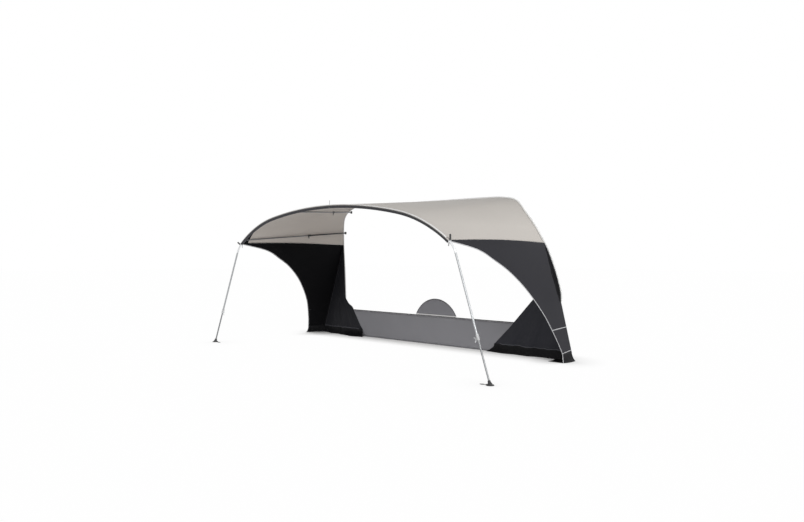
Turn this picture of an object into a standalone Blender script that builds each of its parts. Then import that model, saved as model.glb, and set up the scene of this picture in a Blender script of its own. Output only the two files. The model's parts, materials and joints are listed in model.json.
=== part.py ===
# Rail awning: a sun canopy held out by a bent front hoop on two telescopic legs.
# Metres, +Z up. The open front faces -Y and the rail side faces +Y.
# Left is -X and right is +X, as seen by someone who looks at the open front.

import math

import bmesh
import bpy
from mathutils import Matrix, Vector
from mathutils.geometry import tessellate_polygon

# Whole awning
AWNING_DEPTH = 2.40
HOOP_HEIGHT = 2.355
HOOP_RISE = 0.565
CORNER_HEIGHT = HOOP_HEIGHT - HOOP_RISE
CORNER_HALF_WIDTH = 2.383
CROWN_RADIUS = 7.50
CROWN_HALF_WIDTH = 1.45
CLEARANCE = 0.0003
MERGE_DISTANCE = 0.00002

# Rail that the canopy's bead slides into, higher than the hoop by its rise
RAIL_RISE = 0.190
RAIL_HEIGHT = HOOP_HEIGHT + RAIL_RISE
RAIL_LEFT_REACH = 2.345
RAIL_RIGHT_REACH = 2.625

# Fabric
FABRIC = 0.0012
SEAM_GAP = FABRIC / 2 + CLEARANCE
CANOPY_RISE = 0.030
MUD_WALL_HEIGHT = 0.125
LEFT_PANEL_FLARE = 0.75
RIGHT_PANEL_FLARE = 0.49
LEFT_FOLD_FOOT = 2.96
RIGHT_FOLD_FOOT = 2.84
LEFT_SIDE_MUD_FLARE = 0.085
RIGHT_SIDE_MUD_FLARE = 0.015
LEFT_CORNER_MUD_FLARE = 0.010
RIGHT_CORNER_MUD_FLARE = 0.060
LEFT_INNER_MUD_FLARE = 0.150
RIGHT_INNER_MUD_FLARE = 0.060
PIPING_RADIUS = 0.0045
VALANCE_DROP = 0.032
HEM_THICKNESS = 0.0024
SEAM_TURN = math.radians(30)

# Bead along the rail
BEAD_FRONT = 0.010
BEAD_BACK = 0.006
BEAD_INSIDE = 0.004
BEAD_OUTSIDE = 0.020

# Draught skirt and wheel arch cover
SKIRT_HEIGHT = 0.50
SKIRT_LEFT_END = 2.07
SKIRT_RIGHT_END = 2.12
SKIRT_WAVE = 0.006
SKIRT_TRIM_HEIGHT = 0.012
SKIRT_TRIM_DEPTH = 0.006
WHEEL_COVER_CENTRE = 0.10
WHEEL_COVER_HALF_WIDTH = 0.465
WHEEL_COVER_RISE = 0.285
WHEEL_COVER_HEM = 0.014

# Hoop and legs
HOOP_TUBE_RADIUS = 0.014
TUBE_WALL = 0.0012
SPIGOT_LENGTH = 0.060
ELBOW_RADIUS = 0.35
LEG_SPLAY = math.radians(20.4)
LEG_LEAN = math.radians(2.6)
LOWER_TUBE_RADIUS = 0.0118
LEG_CLAMP_HEIGHT = 0.61
LEG_CLAMP_LENGTH = 0.075
LEG_CLAMP_WALL = 0.0065
LOWER_TUBE_INSERTION = 0.30
FOOT_HEIGHT = 0.062
FOOT_NECK_RADIUS = 0.019
FOOT_SOLE_RADIUS = 0.050
FOOT_SOLE_HEIGHT = 0.010
FOOT_FLOOR = 0.024

# Peg plate at each foot
PEG_PLATE_LENGTH = 0.080
PEG_PLATE_WIDTH = 0.052
PEG_PLATE_THICKNESS = 0.003
PEG_HOLE_RADIUS = 0.006
PEG_ARM_LENGTH = 0.020
PEG_ARM_WIDTH = 0.010
PEG_PIN_RADIUS = 0.0025
PEG_EYE_WALL = 0.0028
PEG_LUG_THICKNESS = 0.004

# Spikes
SPIKE_RADIUS = 0.003
CORNER_SPIKE_HEIGHT = 0.080
CORNER_CAP_RADIUS = 0.013
LEFT_CAP_LEAN = math.radians(62)
CENTRE_SPIKE_HEIGHT = 0.092
CENTRE_KNOB_RADIUS = 0.013
CENTRE_KNOB_HEIGHT = 0.020
SPIKE_HOLE_DEPTH = 0.016

# Roof poles
POLE_REAR_RADIUS = 0.0125
POLE_FRONT_RADIUS = 0.0100
POLE_REAR_LENGTH = 0.90
POLE_INSERTION = 0.36
POLE_CLAMP_LENGTH = 0.060
POLE_CLAMP_WALL = 0.005
POLE_PIVOT_REACH = 0.036
OUTER_POLE_DROP = 0.515
OUTER_POLE_INSET = 0.060
INNER_POLE_DROP = 0.060
INNER_POLE_INSET = 0.052
OUTER_POLE_CORNER_OFFSET = 0.090
INNER_POLE_HALF_SPAN = 0.91
EYE_RADIUS = 0.013
EYE_THICKNESS = 0.010
PIN_RADIUS = 0.0042
EAR_THICKNESS = 0.004
EAR_RADIUS = 0.013
BRACKET_WIDTH = 0.046
BRACKET_HEIGHT = 0.050
BRACKET_THICKNESS = 0.008
SADDLE_LENGTH = 0.050
SADDLE_THICKNESS = 0.004
SADDLE_NECK = 0.035

# Clamp screws
LEG_KNOB_SPAN = 0.076
POLE_KNOB_SPAN = 0.046
KNOB_HUB_RADIUS = 0.009
KNOB_HUB_HEIGHT = 0.012
KNOB_WING_THICKNESS = 0.005
KNOB_WING_HEIGHT = 0.018
SCREW_RADIUS = 0.004
BOSS_RADIUS = 0.009
BOSS_LENGTH = 0.010

# Counts
CROWN_STEPS = 8
SHOULDER_STEPS = 7
CANOPY_ROWS = 9
PANEL_ROWS = 13
INNER_ROWS = 11
INNER_COLUMNS = 12
MUD_ROWS = 3
ELBOW_STEPS = 5
TUBE_SIDES = 12
TURN_SIDES = 16

# Outline of the rail, as shares of its reach and of its height, from the middle of its top
RAIL_LEFT_shares = [(0.0, 1.0), (0.45, 1.0), (0.80, 0.997), (0.905, 0.977), (0.972, 0.935),
                    (1.0, 0.870), (1.0, 0.7034), (0.985, 0.500), (0.974, 0.2688)]
RAIL_RIGHT_shares = [(0.0, 1.0), (0.45, 1.0), (0.59, 0.995), (0.688, 0.972), (0.753, 0.898),
                     (0.816, 0.8165), (0.866, 0.738), (0.915, 0.650), (0.965, 0.520),
                     (0.995, 0.413), (1.0, 0.3485)]

# Front edge of a side panel, as shares of the awning's depth and of the corner height
PANEL_EDGE_shares = [(1.0, 1.0), (0.755, 0.936), (0.615, 0.850), (0.505, 0.769), (0.398, 0.658),
                     (0.315, 0.543), (0.228, 0.386), (0.172, 0.229), (0.138, 0.106), (0.120, 0.0)]

# Inner edge of an inner panel, as shares of the rail's reach and of the corner height
INNER_LEFT_shares = [(0.998, 1.0), (0.975, 0.41), (0.930, 0.345), (0.880, 0.312), (0.872, 0.28),
                     (0.790, 0.115), (0.715, 0.0)]
INNER_RIGHT_shares = [(0.884, 1.0), (0.930, 0.87), (0.956, 0.77), (0.945, 0.715), (0.800, 0.485),
                      (0.640, 0.235), (0.475, 0.0)]


# Depth of an inner panel's folds, as a share of its width
INNER_FOLD_share = 0.03


def material(name, colour, roughness, metallic=0.0):
    made = bpy.data.materials.new(name)
    made.use_nodes = True
    shader = made.node_tree.nodes["Principled BSDF"]
    shader.inputs["Base Color"].default_value = (*colour, 1.0)
    shader.inputs["Roughness"].default_value = roughness
    shader.inputs["Metallic"].default_value = metallic
    return made


def frame_matrix(origin, x_axis, y_axis):
    z_axis = x_axis.cross(y_axis)
    rotation = Matrix((x_axis, y_axis, z_axis)).transposed().to_4x4()
    return Matrix.Translation(origin) @ rotation


def new_object(name, mesh, surface, parent, frame=None):
    made = bpy.data.objects.new(name, mesh)
    bpy.context.collection.objects.link(made)
    made.data.materials.append(surface)
    made.parent = parent
    if frame is not None:
        made.matrix_local = frame
    return made


def new_empty(name, parent, frame):
    made = bpy.data.objects.new(name, None)
    bpy.context.collection.objects.link(made)
    made.parent = parent
    made.matrix_local = frame
    return made


def as_cutter(made):
    made.hide_render = True
    made.display_type = 'WIRE'
    return made


def combine(target, tool, operation):
    as_cutter(tool)
    step = target.modifiers.new(tool.name, 'BOOLEAN')
    step.operation = operation
    step.object = tool


def finish_mesh(bm, name):
    bmesh.ops.recalc_face_normals(bm, faces=bm.faces)
    mesh = bpy.data.meshes.new(name)
    bm.to_mesh(mesh)
    bm.free()
    return mesh


def smooth_round(mesh):
    mesh.shade_smooth()
    mesh.set_sharp_from_angle(angle=math.radians(40))
    return mesh


# Sections are lists of closed loops, the outside first and then the bore, if there is one
def swept(name, stations, surface, parent, frame=None):
    bm = bmesh.new()
    rings = []
    for place, loops in stations:
        rings.append([[bm.verts.new(place @ Vector((u, v, 0))) for u, v in loop] for loop in loops])
    for first, second in zip(rings, rings[1:]):
        for near, far in zip(first, second):
            for index in range(len(near)):
                following = (index + 1) % len(near)
                bm.faces.new((near[index], near[following], far[following], far[index]))
    for ring, (place, loops) in ((rings[0], stations[0]), (rings[-1], stations[-1])):
        corners = [vert for loop in ring for vert in loop]
        flat = [[Vector((u, v, 0)) for u, v in loop] for loop in loops]
        for triangle in tessellate_polygon(flat):
            bm.faces.new([corners[index] for index in triangle])
    return new_object(name, smooth_round(finish_mesh(bm, name)), surface, parent, frame)


def circle(radius, sides=TUBE_SIDES):
    turn = 2 * math.pi / sides
    return [(radius * math.cos(turn * k), radius * math.sin(turn * k)) for k in range(sides)]


def around(radius, sides=TUBE_SIDES):
    return (radius + CLEARANCE) / math.cos(math.pi / sides)


def within(radius, sides=TUBE_SIDES):
    return radius * math.cos(math.pi / sides) - CLEARANCE


# The profile runs down the outer side, and a closed one comes back up its bore
def turned(name, profile, surface, parent, frame=None, closed=False, sides=TURN_SIDES):
    mesh = bpy.data.meshes.new(name)
    edges = [(index, index + 1) for index in range(len(profile) - 1)]
    if closed:
        edges.append((len(profile) - 1, 0))
    mesh.from_pydata([(radius, 0, height) for radius, height in profile], edges, [])
    made = new_object(name, mesh, surface, parent, frame)
    turn = made.modifiers.new("turn", 'SCREW')
    turn.steps = sides
    turn.render_steps = sides
    turn.use_merge_vertices = True
    turn.merge_threshold = MERGE_DISTANCE
    turn.use_smooth_shade = True
    return made


def extruded(name, outline, low, high, surface, parent, frame=None):
    bm = bmesh.new()
    face = bm.faces.new([bm.verts.new((x, y, low)) for x, y in outline])
    raised = bmesh.ops.extrude_face_region(bm, geom=[face])
    lifted = [item for item in raised["geom"] if isinstance(item, bmesh.types.BMVert)]
    bmesh.ops.translate(bm, verts=lifted, vec=(0, 0, high - low))
    return new_object(name, finish_mesh(bm, name), surface, parent, frame)


def block(name, low, high, surface, parent, frame=None):
    outline = [(low[0], low[1]), (high[0], low[1]), (high[0], high[1]), (low[0], high[1])]
    return extruded(name, outline, low[2], high[2], surface, parent, frame)


# A sheet of fabric through rows of points, with its thickness laid evenly to both sides
def cloth(name, rows, surface, parent):
    bm = bmesh.new()
    grid = [[bm.verts.new(point) for point in row] for row in rows]
    for upper, lower in zip(grid, grid[1:]):
        for index in range(len(upper) - 1):
            bm.faces.new((upper[index], upper[index + 1], lower[index + 1], lower[index]))
    mesh = finish_mesh(bm, name)
    mesh.shade_smooth()
    made = new_object(name, mesh, surface, parent)
    thicken = made.modifiers.new("thickness", 'SOLIDIFY')
    thicken.thickness = FABRIC
    thicken.offset = 0
    thicken.use_even_offset = True
    return made


# A smooth line through points, with the same number of steps between each two
def smooth_line(points, steps):
    points = [Vector(point) for point in points]
    padded = [2 * points[0] - points[1]] + points + [2 * points[-1] - points[-2]]
    line = []
    for before, start, end, after in zip(padded, padded[1:], padded[2:], padded[3:]):
        for step in range(steps):
            t = step / steps
            line.append(0.5 * (2 * start + (end - before) * t
                               + (2 * before - 5 * start + 4 * end - after) * t ** 2
                               + (3 * start - before - 3 * end + after) * t ** 3))
    return line + [points[-1]]


def value_at(line, height):
    for (x_above, z_above), (x_below, z_below) in zip(line, line[1:]):
        if z_above >= height >= z_below and z_above > z_below:
            return x_above + (x_below - x_above) * (z_above - height) / (z_above - z_below)
    return line[-1][0]


# Shape of the hoop: a flat crown arc between two tighter shoulder arcs
CROWN_ANGLE = math.asin(CROWN_HALF_WIDTH / CROWN_RADIUS)
CROWN_DROP = CROWN_RADIUS * (1 - math.cos(CROWN_ANGLE))
SHOULDER_RUN = CORNER_HALF_WIDTH - CROWN_HALF_WIDTH
SHOULDER_FALL = HOOP_HEIGHT - CROWN_DROP - CORNER_HEIGHT
CORNER_ANGLE = 2 * math.atan2(SHOULDER_FALL, SHOULDER_RUN) - CROWN_ANGLE
SHOULDER_RADIUS = SHOULDER_RUN / (math.sin(CORNER_ANGLE) - math.sin(CROWN_ANGLE))
HOOP_END = 2 * SHOULDER_STEPS + CROWN_STEPS
SLEEVE_BORE = around(HOOP_TUBE_RADIUS)
SLEEVE_RADIUS = SLEEVE_BORE + HEM_THICKNESS
HOOP_BORE = HOOP_TUBE_RADIUS - TUBE_WALL
SPIGOT_RADIUS = within(HOOP_BORE)


def hoop_angle(index):
    if index < SHOULDER_STEPS:
        return -CORNER_ANGLE + (CORNER_ANGLE - CROWN_ANGLE) * index / SHOULDER_STEPS
    if index > SHOULDER_STEPS + CROWN_STEPS:
        return -hoop_angle(HOOP_END - index)
    return CROWN_ANGLE * (2 * (index - SHOULDER_STEPS) / CROWN_STEPS - 1)


def hoop_place(angle):
    bend = abs(angle)
    if bend <= CROWN_ANGLE:
        x, z = CROWN_RADIUS * math.sin(bend), HOOP_HEIGHT - CROWN_RADIUS * (1 - math.cos(bend))
    else:
        x = CROWN_HALF_WIDTH + SHOULDER_RADIUS * (math.sin(bend) - math.sin(CROWN_ANGLE))
        z = (HOOP_HEIGHT - CROWN_DROP
             - SHOULDER_RADIUS * (math.cos(CROWN_ANGLE) - math.cos(bend)))
    return Vector((math.copysign(x, angle), -AWNING_DEPTH, z))


# Frame at a place along the hoop: X to the rail side, Y outwards, Z along the tube to the right
def hoop_frame(index):
    low = max(0, min(math.floor(index), HOOP_END - 1))
    share = index - low
    angle = hoop_angle(low) + (hoop_angle(low + 1) - hoop_angle(low)) * share
    place = hoop_place(hoop_angle(low)).lerp(hoop_place(hoop_angle(low + 1)), share)
    return frame_matrix(place, Vector((0, 1, 0)), Vector((math.sin(angle), 0, math.cos(angle))))


# The same frame, turned to lie along the straight piece of tube that it is in
def hoop_chord_frame(index):
    low = max(0, min(math.floor(index), HOOP_END - 1))
    run = hoop_place(hoop_angle(low + 1)) - hoop_place(hoop_angle(low))
    backwards = Vector((0, 1, 0))
    return frame_matrix(hoop_frame(index).translation, backwards, run.normalized().cross(backwards))


def hoop_index_at(x):
    for low in range(HOOP_END):
        first, second = hoop_place(hoop_angle(low)).x, hoop_place(hoop_angle(low + 1)).x
        if first <= x <= second:
            return low + (x - first) / (second - first)
    return HOOP_END


def hoop_index_after(index, distance):
    low = max(0, min(math.floor(index), HOOP_END - 1))
    step = (hoop_place(hoop_angle(low + 1)) - hoop_place(hoop_angle(low))).length
    return index + distance / step


def hoop_indices(first, last):
    return [first] + list(range(math.floor(first) + 1, math.ceil(last))) + [last]


# Shape of the rail, from its left foot over the top to its right foot
def rail_side(side):
    shares, reach = ((RAIL_LEFT_shares, RAIL_LEFT_REACH) if side < 0
                     else (RAIL_RIGHT_shares, RAIL_RIGHT_REACH))
    return smooth_line([(side * reach * across, RAIL_HEIGHT * up) for across, up in shares], 6)


def line_length(line):
    return sum((second - first).length for first, second in zip(line, line[1:]))


def along_line(line, distance):
    for first, second in zip(line, line[1:]):
        step = (second - first).length
        if distance <= step:
            return first.lerp(second, distance / step)
        distance -= step
    return line[-1].copy()


LEFT_RAIL = rail_side(-1)
RIGHT_RAIL = rail_side(1)
LEFT_SEAM = Vector((value_at(LEFT_RAIL, CORNER_HEIGHT), CORNER_HEIGHT))
RIGHT_SEAM = Vector((value_at(RIGHT_RAIL, CORNER_HEIGHT), CORNER_HEIGHT))
UPPER_RAIL = ([LEFT_SEAM] + [point for point in reversed(LEFT_RAIL) if point.y > CORNER_HEIGHT]
              + [point for point in RIGHT_RAIL[1:] if point.y > CORNER_HEIGHT] + [RIGHT_SEAM])
HOOP_LINE = [hoop_place(hoop_angle(index)).xz for index in range(HOOP_END + 1)]


def hoop_share(index):
    return line_length(HOOP_LINE[:index + 1]) / line_length(HOOP_LINE)


# Rail points that the canopy meets, one for each station of the hoop, and the rail below them
CANOPY_RAIL = [along_line(UPPER_RAIL, hoop_share(index) * line_length(UPPER_RAIL))
               for index in range(HOOP_END + 1)]
LOWER_LEFT_RAIL = [point for point in reversed(LEFT_RAIL) if point.y < CORNER_HEIGHT][::3]
LOWER_RIGHT_RAIL = [point for point in RIGHT_RAIL if point.y < CORNER_HEIGHT][::-1][::3][::-1]
BEAD_LINE = LOWER_LEFT_RAIL + CANOPY_RAIL + LOWER_RIGHT_RAIL


def outward_normals(line):
    normals = []
    for index in range(len(line)):
        before, after = line[max(index - 1, 0)], line[min(index + 1, len(line) - 1)]
        run = (after - before).normalized()
        normals.append(Vector((-run.y, run.x)))
    return normals


# Layers at the rail, counted from the rail's plane at Y = 0 to the front
CANOPY_BACK = BEAD_FRONT + SEAM_GAP
INNER_LAYER = BEAD_FRONT + CLEARANCE + FABRIC
PANEL_BACK = INNER_LAYER + FABRIC / 2 + SEAM_GAP
SKIRT_LAYER = INNER_LAYER - FABRIC - SEAM_GAP
SEAM_LIFT = SLEEVE_RADIUS + SEAM_GAP


def canopy_point(station, row):
    share = row / CANOPY_ROWS
    front = hoop_frame(station) @ Vector((SEAM_LIFT * math.sin(SEAM_TURN),
                                          SEAM_LIFT * math.cos(SEAM_TURN), 0))
    rear = CANOPY_RAIL[station]
    rear = Vector((rear.x, -CANOPY_BACK, rear.y))
    angle = hoop_angle(station)
    outwards = Vector((math.sin(angle), 0, math.cos(angle)))
    return front.lerp(rear, share) + outwards * CANOPY_RISE * math.sin(math.pi * share)


def panel_edge_line():
    return smooth_line([(-AWNING_DEPTH * depth, CORNER_HEIGHT * up)
                        for depth, up in PANEL_EDGE_shares], 4)


def fold_foot(side):
    return LEFT_FOLD_FOOT if side < 0 else RIGHT_FOLD_FOOT


# Distance of a side panel's rear edge from the middle plane
def rear_edge(side, height):
    share = 1 - height / CORNER_HEIGHT
    if side < 0:
        return -LEFT_SEAM.x + (fold_foot(side) + LEFT_SEAM.x) * share
    foot = RIGHT_RAIL[-1]
    if height >= foot.y:
        return value_at(RIGHT_RAIL, height)
    return foot.x + (fold_foot(side) - foot.x) * (1 - height / foot.y)


# Grid of a side panel, from its seam with the roof down to the mud wall
def side_panel_rows(side):
    station = 0 if side < 0 else HOOP_END
    flare = LEFT_PANEL_FLARE if side < 0 else RIGHT_PANEL_FLARE
    drop = Vector((0, 0, SEAM_GAP))
    seam = [canopy_point(station, row) - drop for row in range(CANOPY_ROWS + 1)]
    tip_share = (SLEEVE_RADIUS + PIPING_RADIUS) / (AWNING_DEPTH / CANOPY_ROWS)
    seam[0] = seam[0].lerp(seam[1], tip_share)
    back_share = (-PANEL_BACK - seam[-2].y) / (seam[-1].y - seam[-2].y)
    seam[-1] = seam[-2].lerp(seam[-1], back_share)
    depth = seam[-1].y - seam[0].y
    spread = [(point.y - seam[0].y) / depth for point in seam]
    rows = [seam]
    edge = [point for point in panel_edge_line() if point.y > MUD_WALL_HEIGHT]
    edge.append(Vector((value_at(edge + panel_edge_line()[-1:], MUD_WALL_HEIGHT),
                        MUD_WALL_HEIGHT)))
    step = (len(edge) - 1) / PANEL_ROWS
    for row in range(1, PANEL_ROWS + 1):
        place = edge[round(row * step)]
        share = 1 - place.y / CORNER_HEIGHT
        front = Vector((side * (CORNER_HALF_WIDTH + flare * share), place.x, place.y))
        rear = Vector((side * rear_edge(side, place.y), -PANEL_BACK, place.y))
        rows.append([front.lerp(rear, part) for part in spread])
    return rows


def inner_edge_line(side):
    shares, reach = ((INNER_LEFT_shares, RAIL_LEFT_REACH) if side < 0
                     else (INNER_RIGHT_shares, RAIL_RIGHT_REACH))
    return [Vector((reach * across, CORNER_HEIGHT * up)) for across, up in shares]


# Grid of an inner panel, in the rail's plane, with upright folds that deepen downwards
def inner_panel_rows(side):
    top = CORNER_HEIGHT - 3 * SEAM_GAP
    line = inner_edge_line(side)
    rows = []
    for row in range(INNER_ROWS + 1):
        height = top + (MUD_WALL_HEIGHT - top) * row / INNER_ROWS
        inner = value_at(line, height)
        outer = rear_edge(side, height) + BEAD_INSIDE
        points = []
        for column in range(INNER_COLUMNS + 1):
            share = column / INNER_COLUMNS
            across = min(column / (INNER_COLUMNS - 1), 1)
            fold = math.sin(3 * math.pi * across) ** 2 * math.sin(math.pi * across)
            deepen = (row / INNER_ROWS) ** 2
            y = -INNER_LAYER - INNER_FOLD_share * (outer - inner) * fold * deepen
            points.append(Vector((side * (inner + (outer - inner) * share), y, height)))
        rows.append(points)
    return rows


# One strip that runs below the side panel and, round the corner, below the inner panel.
# Its end follows the slant of the inner panel's edge down to a toe on the ground.
def mud_wall_rows(side):
    side_flare = LEFT_SIDE_MUD_FLARE if side < 0 else RIGHT_SIDE_MUD_FLARE
    corner_flare = LEFT_CORNER_MUD_FLARE if side < 0 else RIGHT_CORNER_MUD_FLARE
    inner_flare = LEFT_INNER_MUD_FLARE if side < 0 else RIGHT_INNER_MUD_FLARE
    panel_foot = side_panel_rows(side)[-1]
    inner_foot = inner_panel_rows(side)[-1][::-1]
    edge = inner_edge_line(side)
    toe = value_at(edge, MUD_WALL_HEIGHT) - edge[-1].x
    path = panel_foot[:-1] + inner_foot
    flares = []
    for index in range(len(panel_foot) - 1):
        share = index / (len(panel_foot) - 1)
        flares.append(Vector((side * (side_flare * (1 - share) + corner_flare * share), 0, 0)))
    for index in range(len(inner_foot)):
        share = index / (len(inner_foot) - 1)
        wave = 1 - math.cos(4 * math.pi * share) / 4
        sideways = corner_flare * (1 - share) - toe * share ** 3
        flares.append(Vector((side * sideways, -inner_flare * share * wave, 0)))
    rows = []
    for row in range(MUD_ROWS + 1):
        share = row / MUD_ROWS
        height = (MUD_WALL_HEIGHT - SEAM_GAP) * (1 - share) + FABRIC / 2 * share
        rows.append([Vector((point.x, point.y, height)) + flare * share ** 2
                     for point, flare in zip(path, flares)])
    return rows


# Half-way line of the ground, used to set the awning over its own origin
LEG_DIRECTION = Vector((math.tan(LEG_SPLAY), -math.tan(LEG_LEAN), -1)).normalized()
FRONT_REACH = (AWNING_DEPTH + CORNER_HEIGHT * math.tan(LEG_LEAN) + FOOT_SOLE_RADIUS)
RAIL_OFFSET = (FRONT_REACH - BEAD_BACK) / 2


def mirrored(vector, side):
    return Vector((side * vector.x, vector.y, vector.z))


# Bend from the end of the hoop into the leg, as frames along the tube
def elbow_frames(side):
    start = hoop_place(side * CORNER_ANGLE)
    first = Vector((side * math.cos(CORNER_ANGLE), 0, -math.sin(CORNER_ANGLE)))
    last = mirrored(LEG_DIRECTION, side)
    across = (last - first * last.dot(first)).normalized()
    bend = math.acos(first.dot(last))
    hinge = first.cross(across)
    frames = []
    for step in range(ELBOW_STEPS + 1):
        turn = bend * step / ELBOW_STEPS
        along = first * math.cos(turn) + across * math.sin(turn)
        place = start + ELBOW_RADIUS * (first * math.sin(turn) + across * (1 - math.cos(turn)))
        frames.append(frame_matrix(place, hinge, along.cross(hinge)))
    return frames


def moved(frame, distance):
    return frame @ Matrix.Translation((0, 0, distance))


# Frame of a leg: origin where its axis meets the ground, Z up along the tube, X inwards
def leg_frame(side):
    top = elbow_frames(side)[-1].translation
    down = mirrored(LEG_DIRECTION, side)
    ground = top + down * (top.z / -down.z)
    inwards = Vector((-side, 0, 0))
    x_axis = (inwards - down * inwards.dot(down)).normalized()
    y_axis = (-down).cross(x_axis)
    return frame_matrix(ground, x_axis, y_axis), (top - ground).length


# Frame of a roof pole: origin on its wall pin, Z along the pole to the hoop, Y upwards
def pole_frame(side, kind):
    if kind == "outer":
        height = RAIL_HEIGHT - OUTER_POLE_DROP
        rail = LEFT_RAIL if side < 0 else RIGHT_RAIL
        pivot = Vector((value_at(rail, height) - side * OUTER_POLE_INSET, height))
        station = hoop_index_at(side * (CORNER_HALF_WIDTH - OUTER_POLE_CORNER_OFFSET))
    else:
        height = RAIL_HEIGHT - INNER_POLE_DROP
        rail = LEFT_RAIL if side < 0 else RIGHT_RAIL
        inwards = Vector((-side, -2)).normalized()
        pivot = Vector((value_at(rail, height), height)) + inwards * INNER_POLE_INSET
        station = hoop_index_at(side * INNER_POLE_HALF_SPAN)
    start = Vector((pivot.x, -POLE_PIVOT_REACH, pivot.y))
    end = hoop_frame(station).translation
    along = (end - start).normalized()
    across = Vector((0, 0, 1)).cross(along).normalized()
    return frame_matrix(start, across, along.cross(across)), (end - start).length, station


def clear_scene():
    for old in list(bpy.data.objects):
        bpy.data.objects.remove(old, do_unlink=True)


def side_name(side):
    return "left" if side < 0 else "right"


# Fabric pieces
def build_fabric(root, looks):
    roof = [[canopy_point(station, row) for station in range(HOOP_END + 1)]
            for row in range(CANOPY_ROWS + 1)]
    cloth("canopy_roof", roof, looks["roof"], root)
    sleeve = [(hoop_frame(index), [circle(SLEEVE_RADIUS), circle(SLEEVE_BORE)])
              for index in range(HOOP_END + 1)]
    sleeve = swept("front_hem_sleeve", sleeve, looks["hem"], root)
    high = -SLEEVE_RADIUS - CLEARANCE
    strip = [(-FABRIC / 2, high), (-FABRIC / 2, high - VALANCE_DROP),
             (FABRIC / 2, high - VALANCE_DROP), (FABRIC / 2, high)]
    valance = swept("front_valance", [(hoop_frame(index), [strip]) for index in range(HOOP_END + 1)],
                    looks["hem"], root)
    for side in (-1, 1):
        name = side_name(side)
        panel = side_panel_rows(side)
        cloth("side_panel_" + name, panel, looks["panel"], root)
        cloth("inner_panel_" + name, inner_panel_rows(side), looks["inner"], root)
        cloth("mud_wall_" + name, mud_wall_rows(side), looks["mud"], root)
        build_piping("side_piping_" + name, panel, looks["piping"], root)
    normals = outward_normals(BEAD_LINE)
    bead = [(-BEAD_FRONT, -BEAD_INSIDE), (BEAD_BACK, -BEAD_INSIDE),
            (BEAD_BACK, BEAD_OUTSIDE), (-BEAD_FRONT, BEAD_OUTSIDE)]
    stations = [(frame_matrix(Vector((point.x, 0, point.y)), Vector((0, 1, 0)),
                              Vector((normal.x, 0, normal.y))), [bead])
                for point, normal in zip(BEAD_LINE, normals)]
    swept("rail_bead", stations, looks["bead"], root)
    return sleeve, valance


# Round edge binding along a side panel's hollow front edge
def build_piping(name, panel, surface, root):
    edge = [row[0] for row in panel]
    stations = []
    for index in range(1, len(edge)):
        along = (edge[min(index + 1, len(edge) - 1)] - edge[index - 1]).normalized()
        inwards = panel[index][1] - edge[index]
        face = along.cross(inwards).normalized()
        away = face.cross(along)
        if away.dot(inwards) > 0:
            away.negate()
        centre = edge[index] + away * (PIPING_RADIUS + SEAM_GAP)
        stations.append((frame_matrix(centre, away, along.cross(away)), [circle(PIPING_RADIUS, 6)]))
    swept(name, stations, surface, root)


# Draught skirt with its trim, and the wheel arch cover that stands on it
def build_skirt(root, looks):
    columns = 24
    rows = []
    for height in (SKIRT_HEIGHT, SKIRT_HEIGHT / 2, FABRIC / 2):
        row = []
        for column in range(columns + 1):
            share = column / columns
            x = -SKIRT_LEFT_END + (SKIRT_LEFT_END + SKIRT_RIGHT_END) * share
            hang = 1 - height / SKIRT_HEIGHT
            wave = SKIRT_WAVE * hang * math.sin(6 * math.pi * share) ** 2
            row.append(Vector((x, -SKIRT_LAYER + wave, height)))
        rows.append(row)
    cloth("draught_skirt", rows, looks["skirt"], root)
    trim_low = SKIRT_HEIGHT + SEAM_GAP
    trim_high = trim_low + SKIRT_TRIM_HEIGHT
    half = SKIRT_TRIM_DEPTH / 2
    layer = INNER_LAYER - FABRIC / 2 - CLEARANCE - half
    block("skirt_trim", (-SKIRT_LEFT_END, -layer - half, trim_low),
          (SKIRT_RIGHT_END, -layer + half, trim_high), looks["hem"], root)
    radius = (WHEEL_COVER_HALF_WIDTH ** 2 + WHEEL_COVER_RISE ** 2) / (2 * WHEEL_COVER_RISE)
    spread = math.asin(WHEEL_COVER_HALF_WIDTH / radius)
    low = trim_high + CLEARANCE
    base = low + WHEEL_COVER_HEM
    outline = [(WHEEL_COVER_CENTRE - WHEEL_COVER_HALF_WIDTH, low),
               (WHEEL_COVER_CENTRE + WHEEL_COVER_HALF_WIDTH, low)]
    steps = 16
    for step in range(steps + 1):
        turn = spread * (1 - 2 * step / steps)
        outline.append((WHEEL_COVER_CENTRE + radius * math.sin(turn),
                        base + WHEEL_COVER_RISE - radius * (1 - math.cos(turn))))
    upright = frame_matrix(Vector((0, -layer, 0)), Vector((1, 0, 0)), Vector((0, 0, 1)))
    extruded("wheel_arch_cover", outline, -half, half, looks["skirt"], root, upright)


def tube_loops(radius, bore):
    return [circle(radius), circle(bore)]


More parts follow.
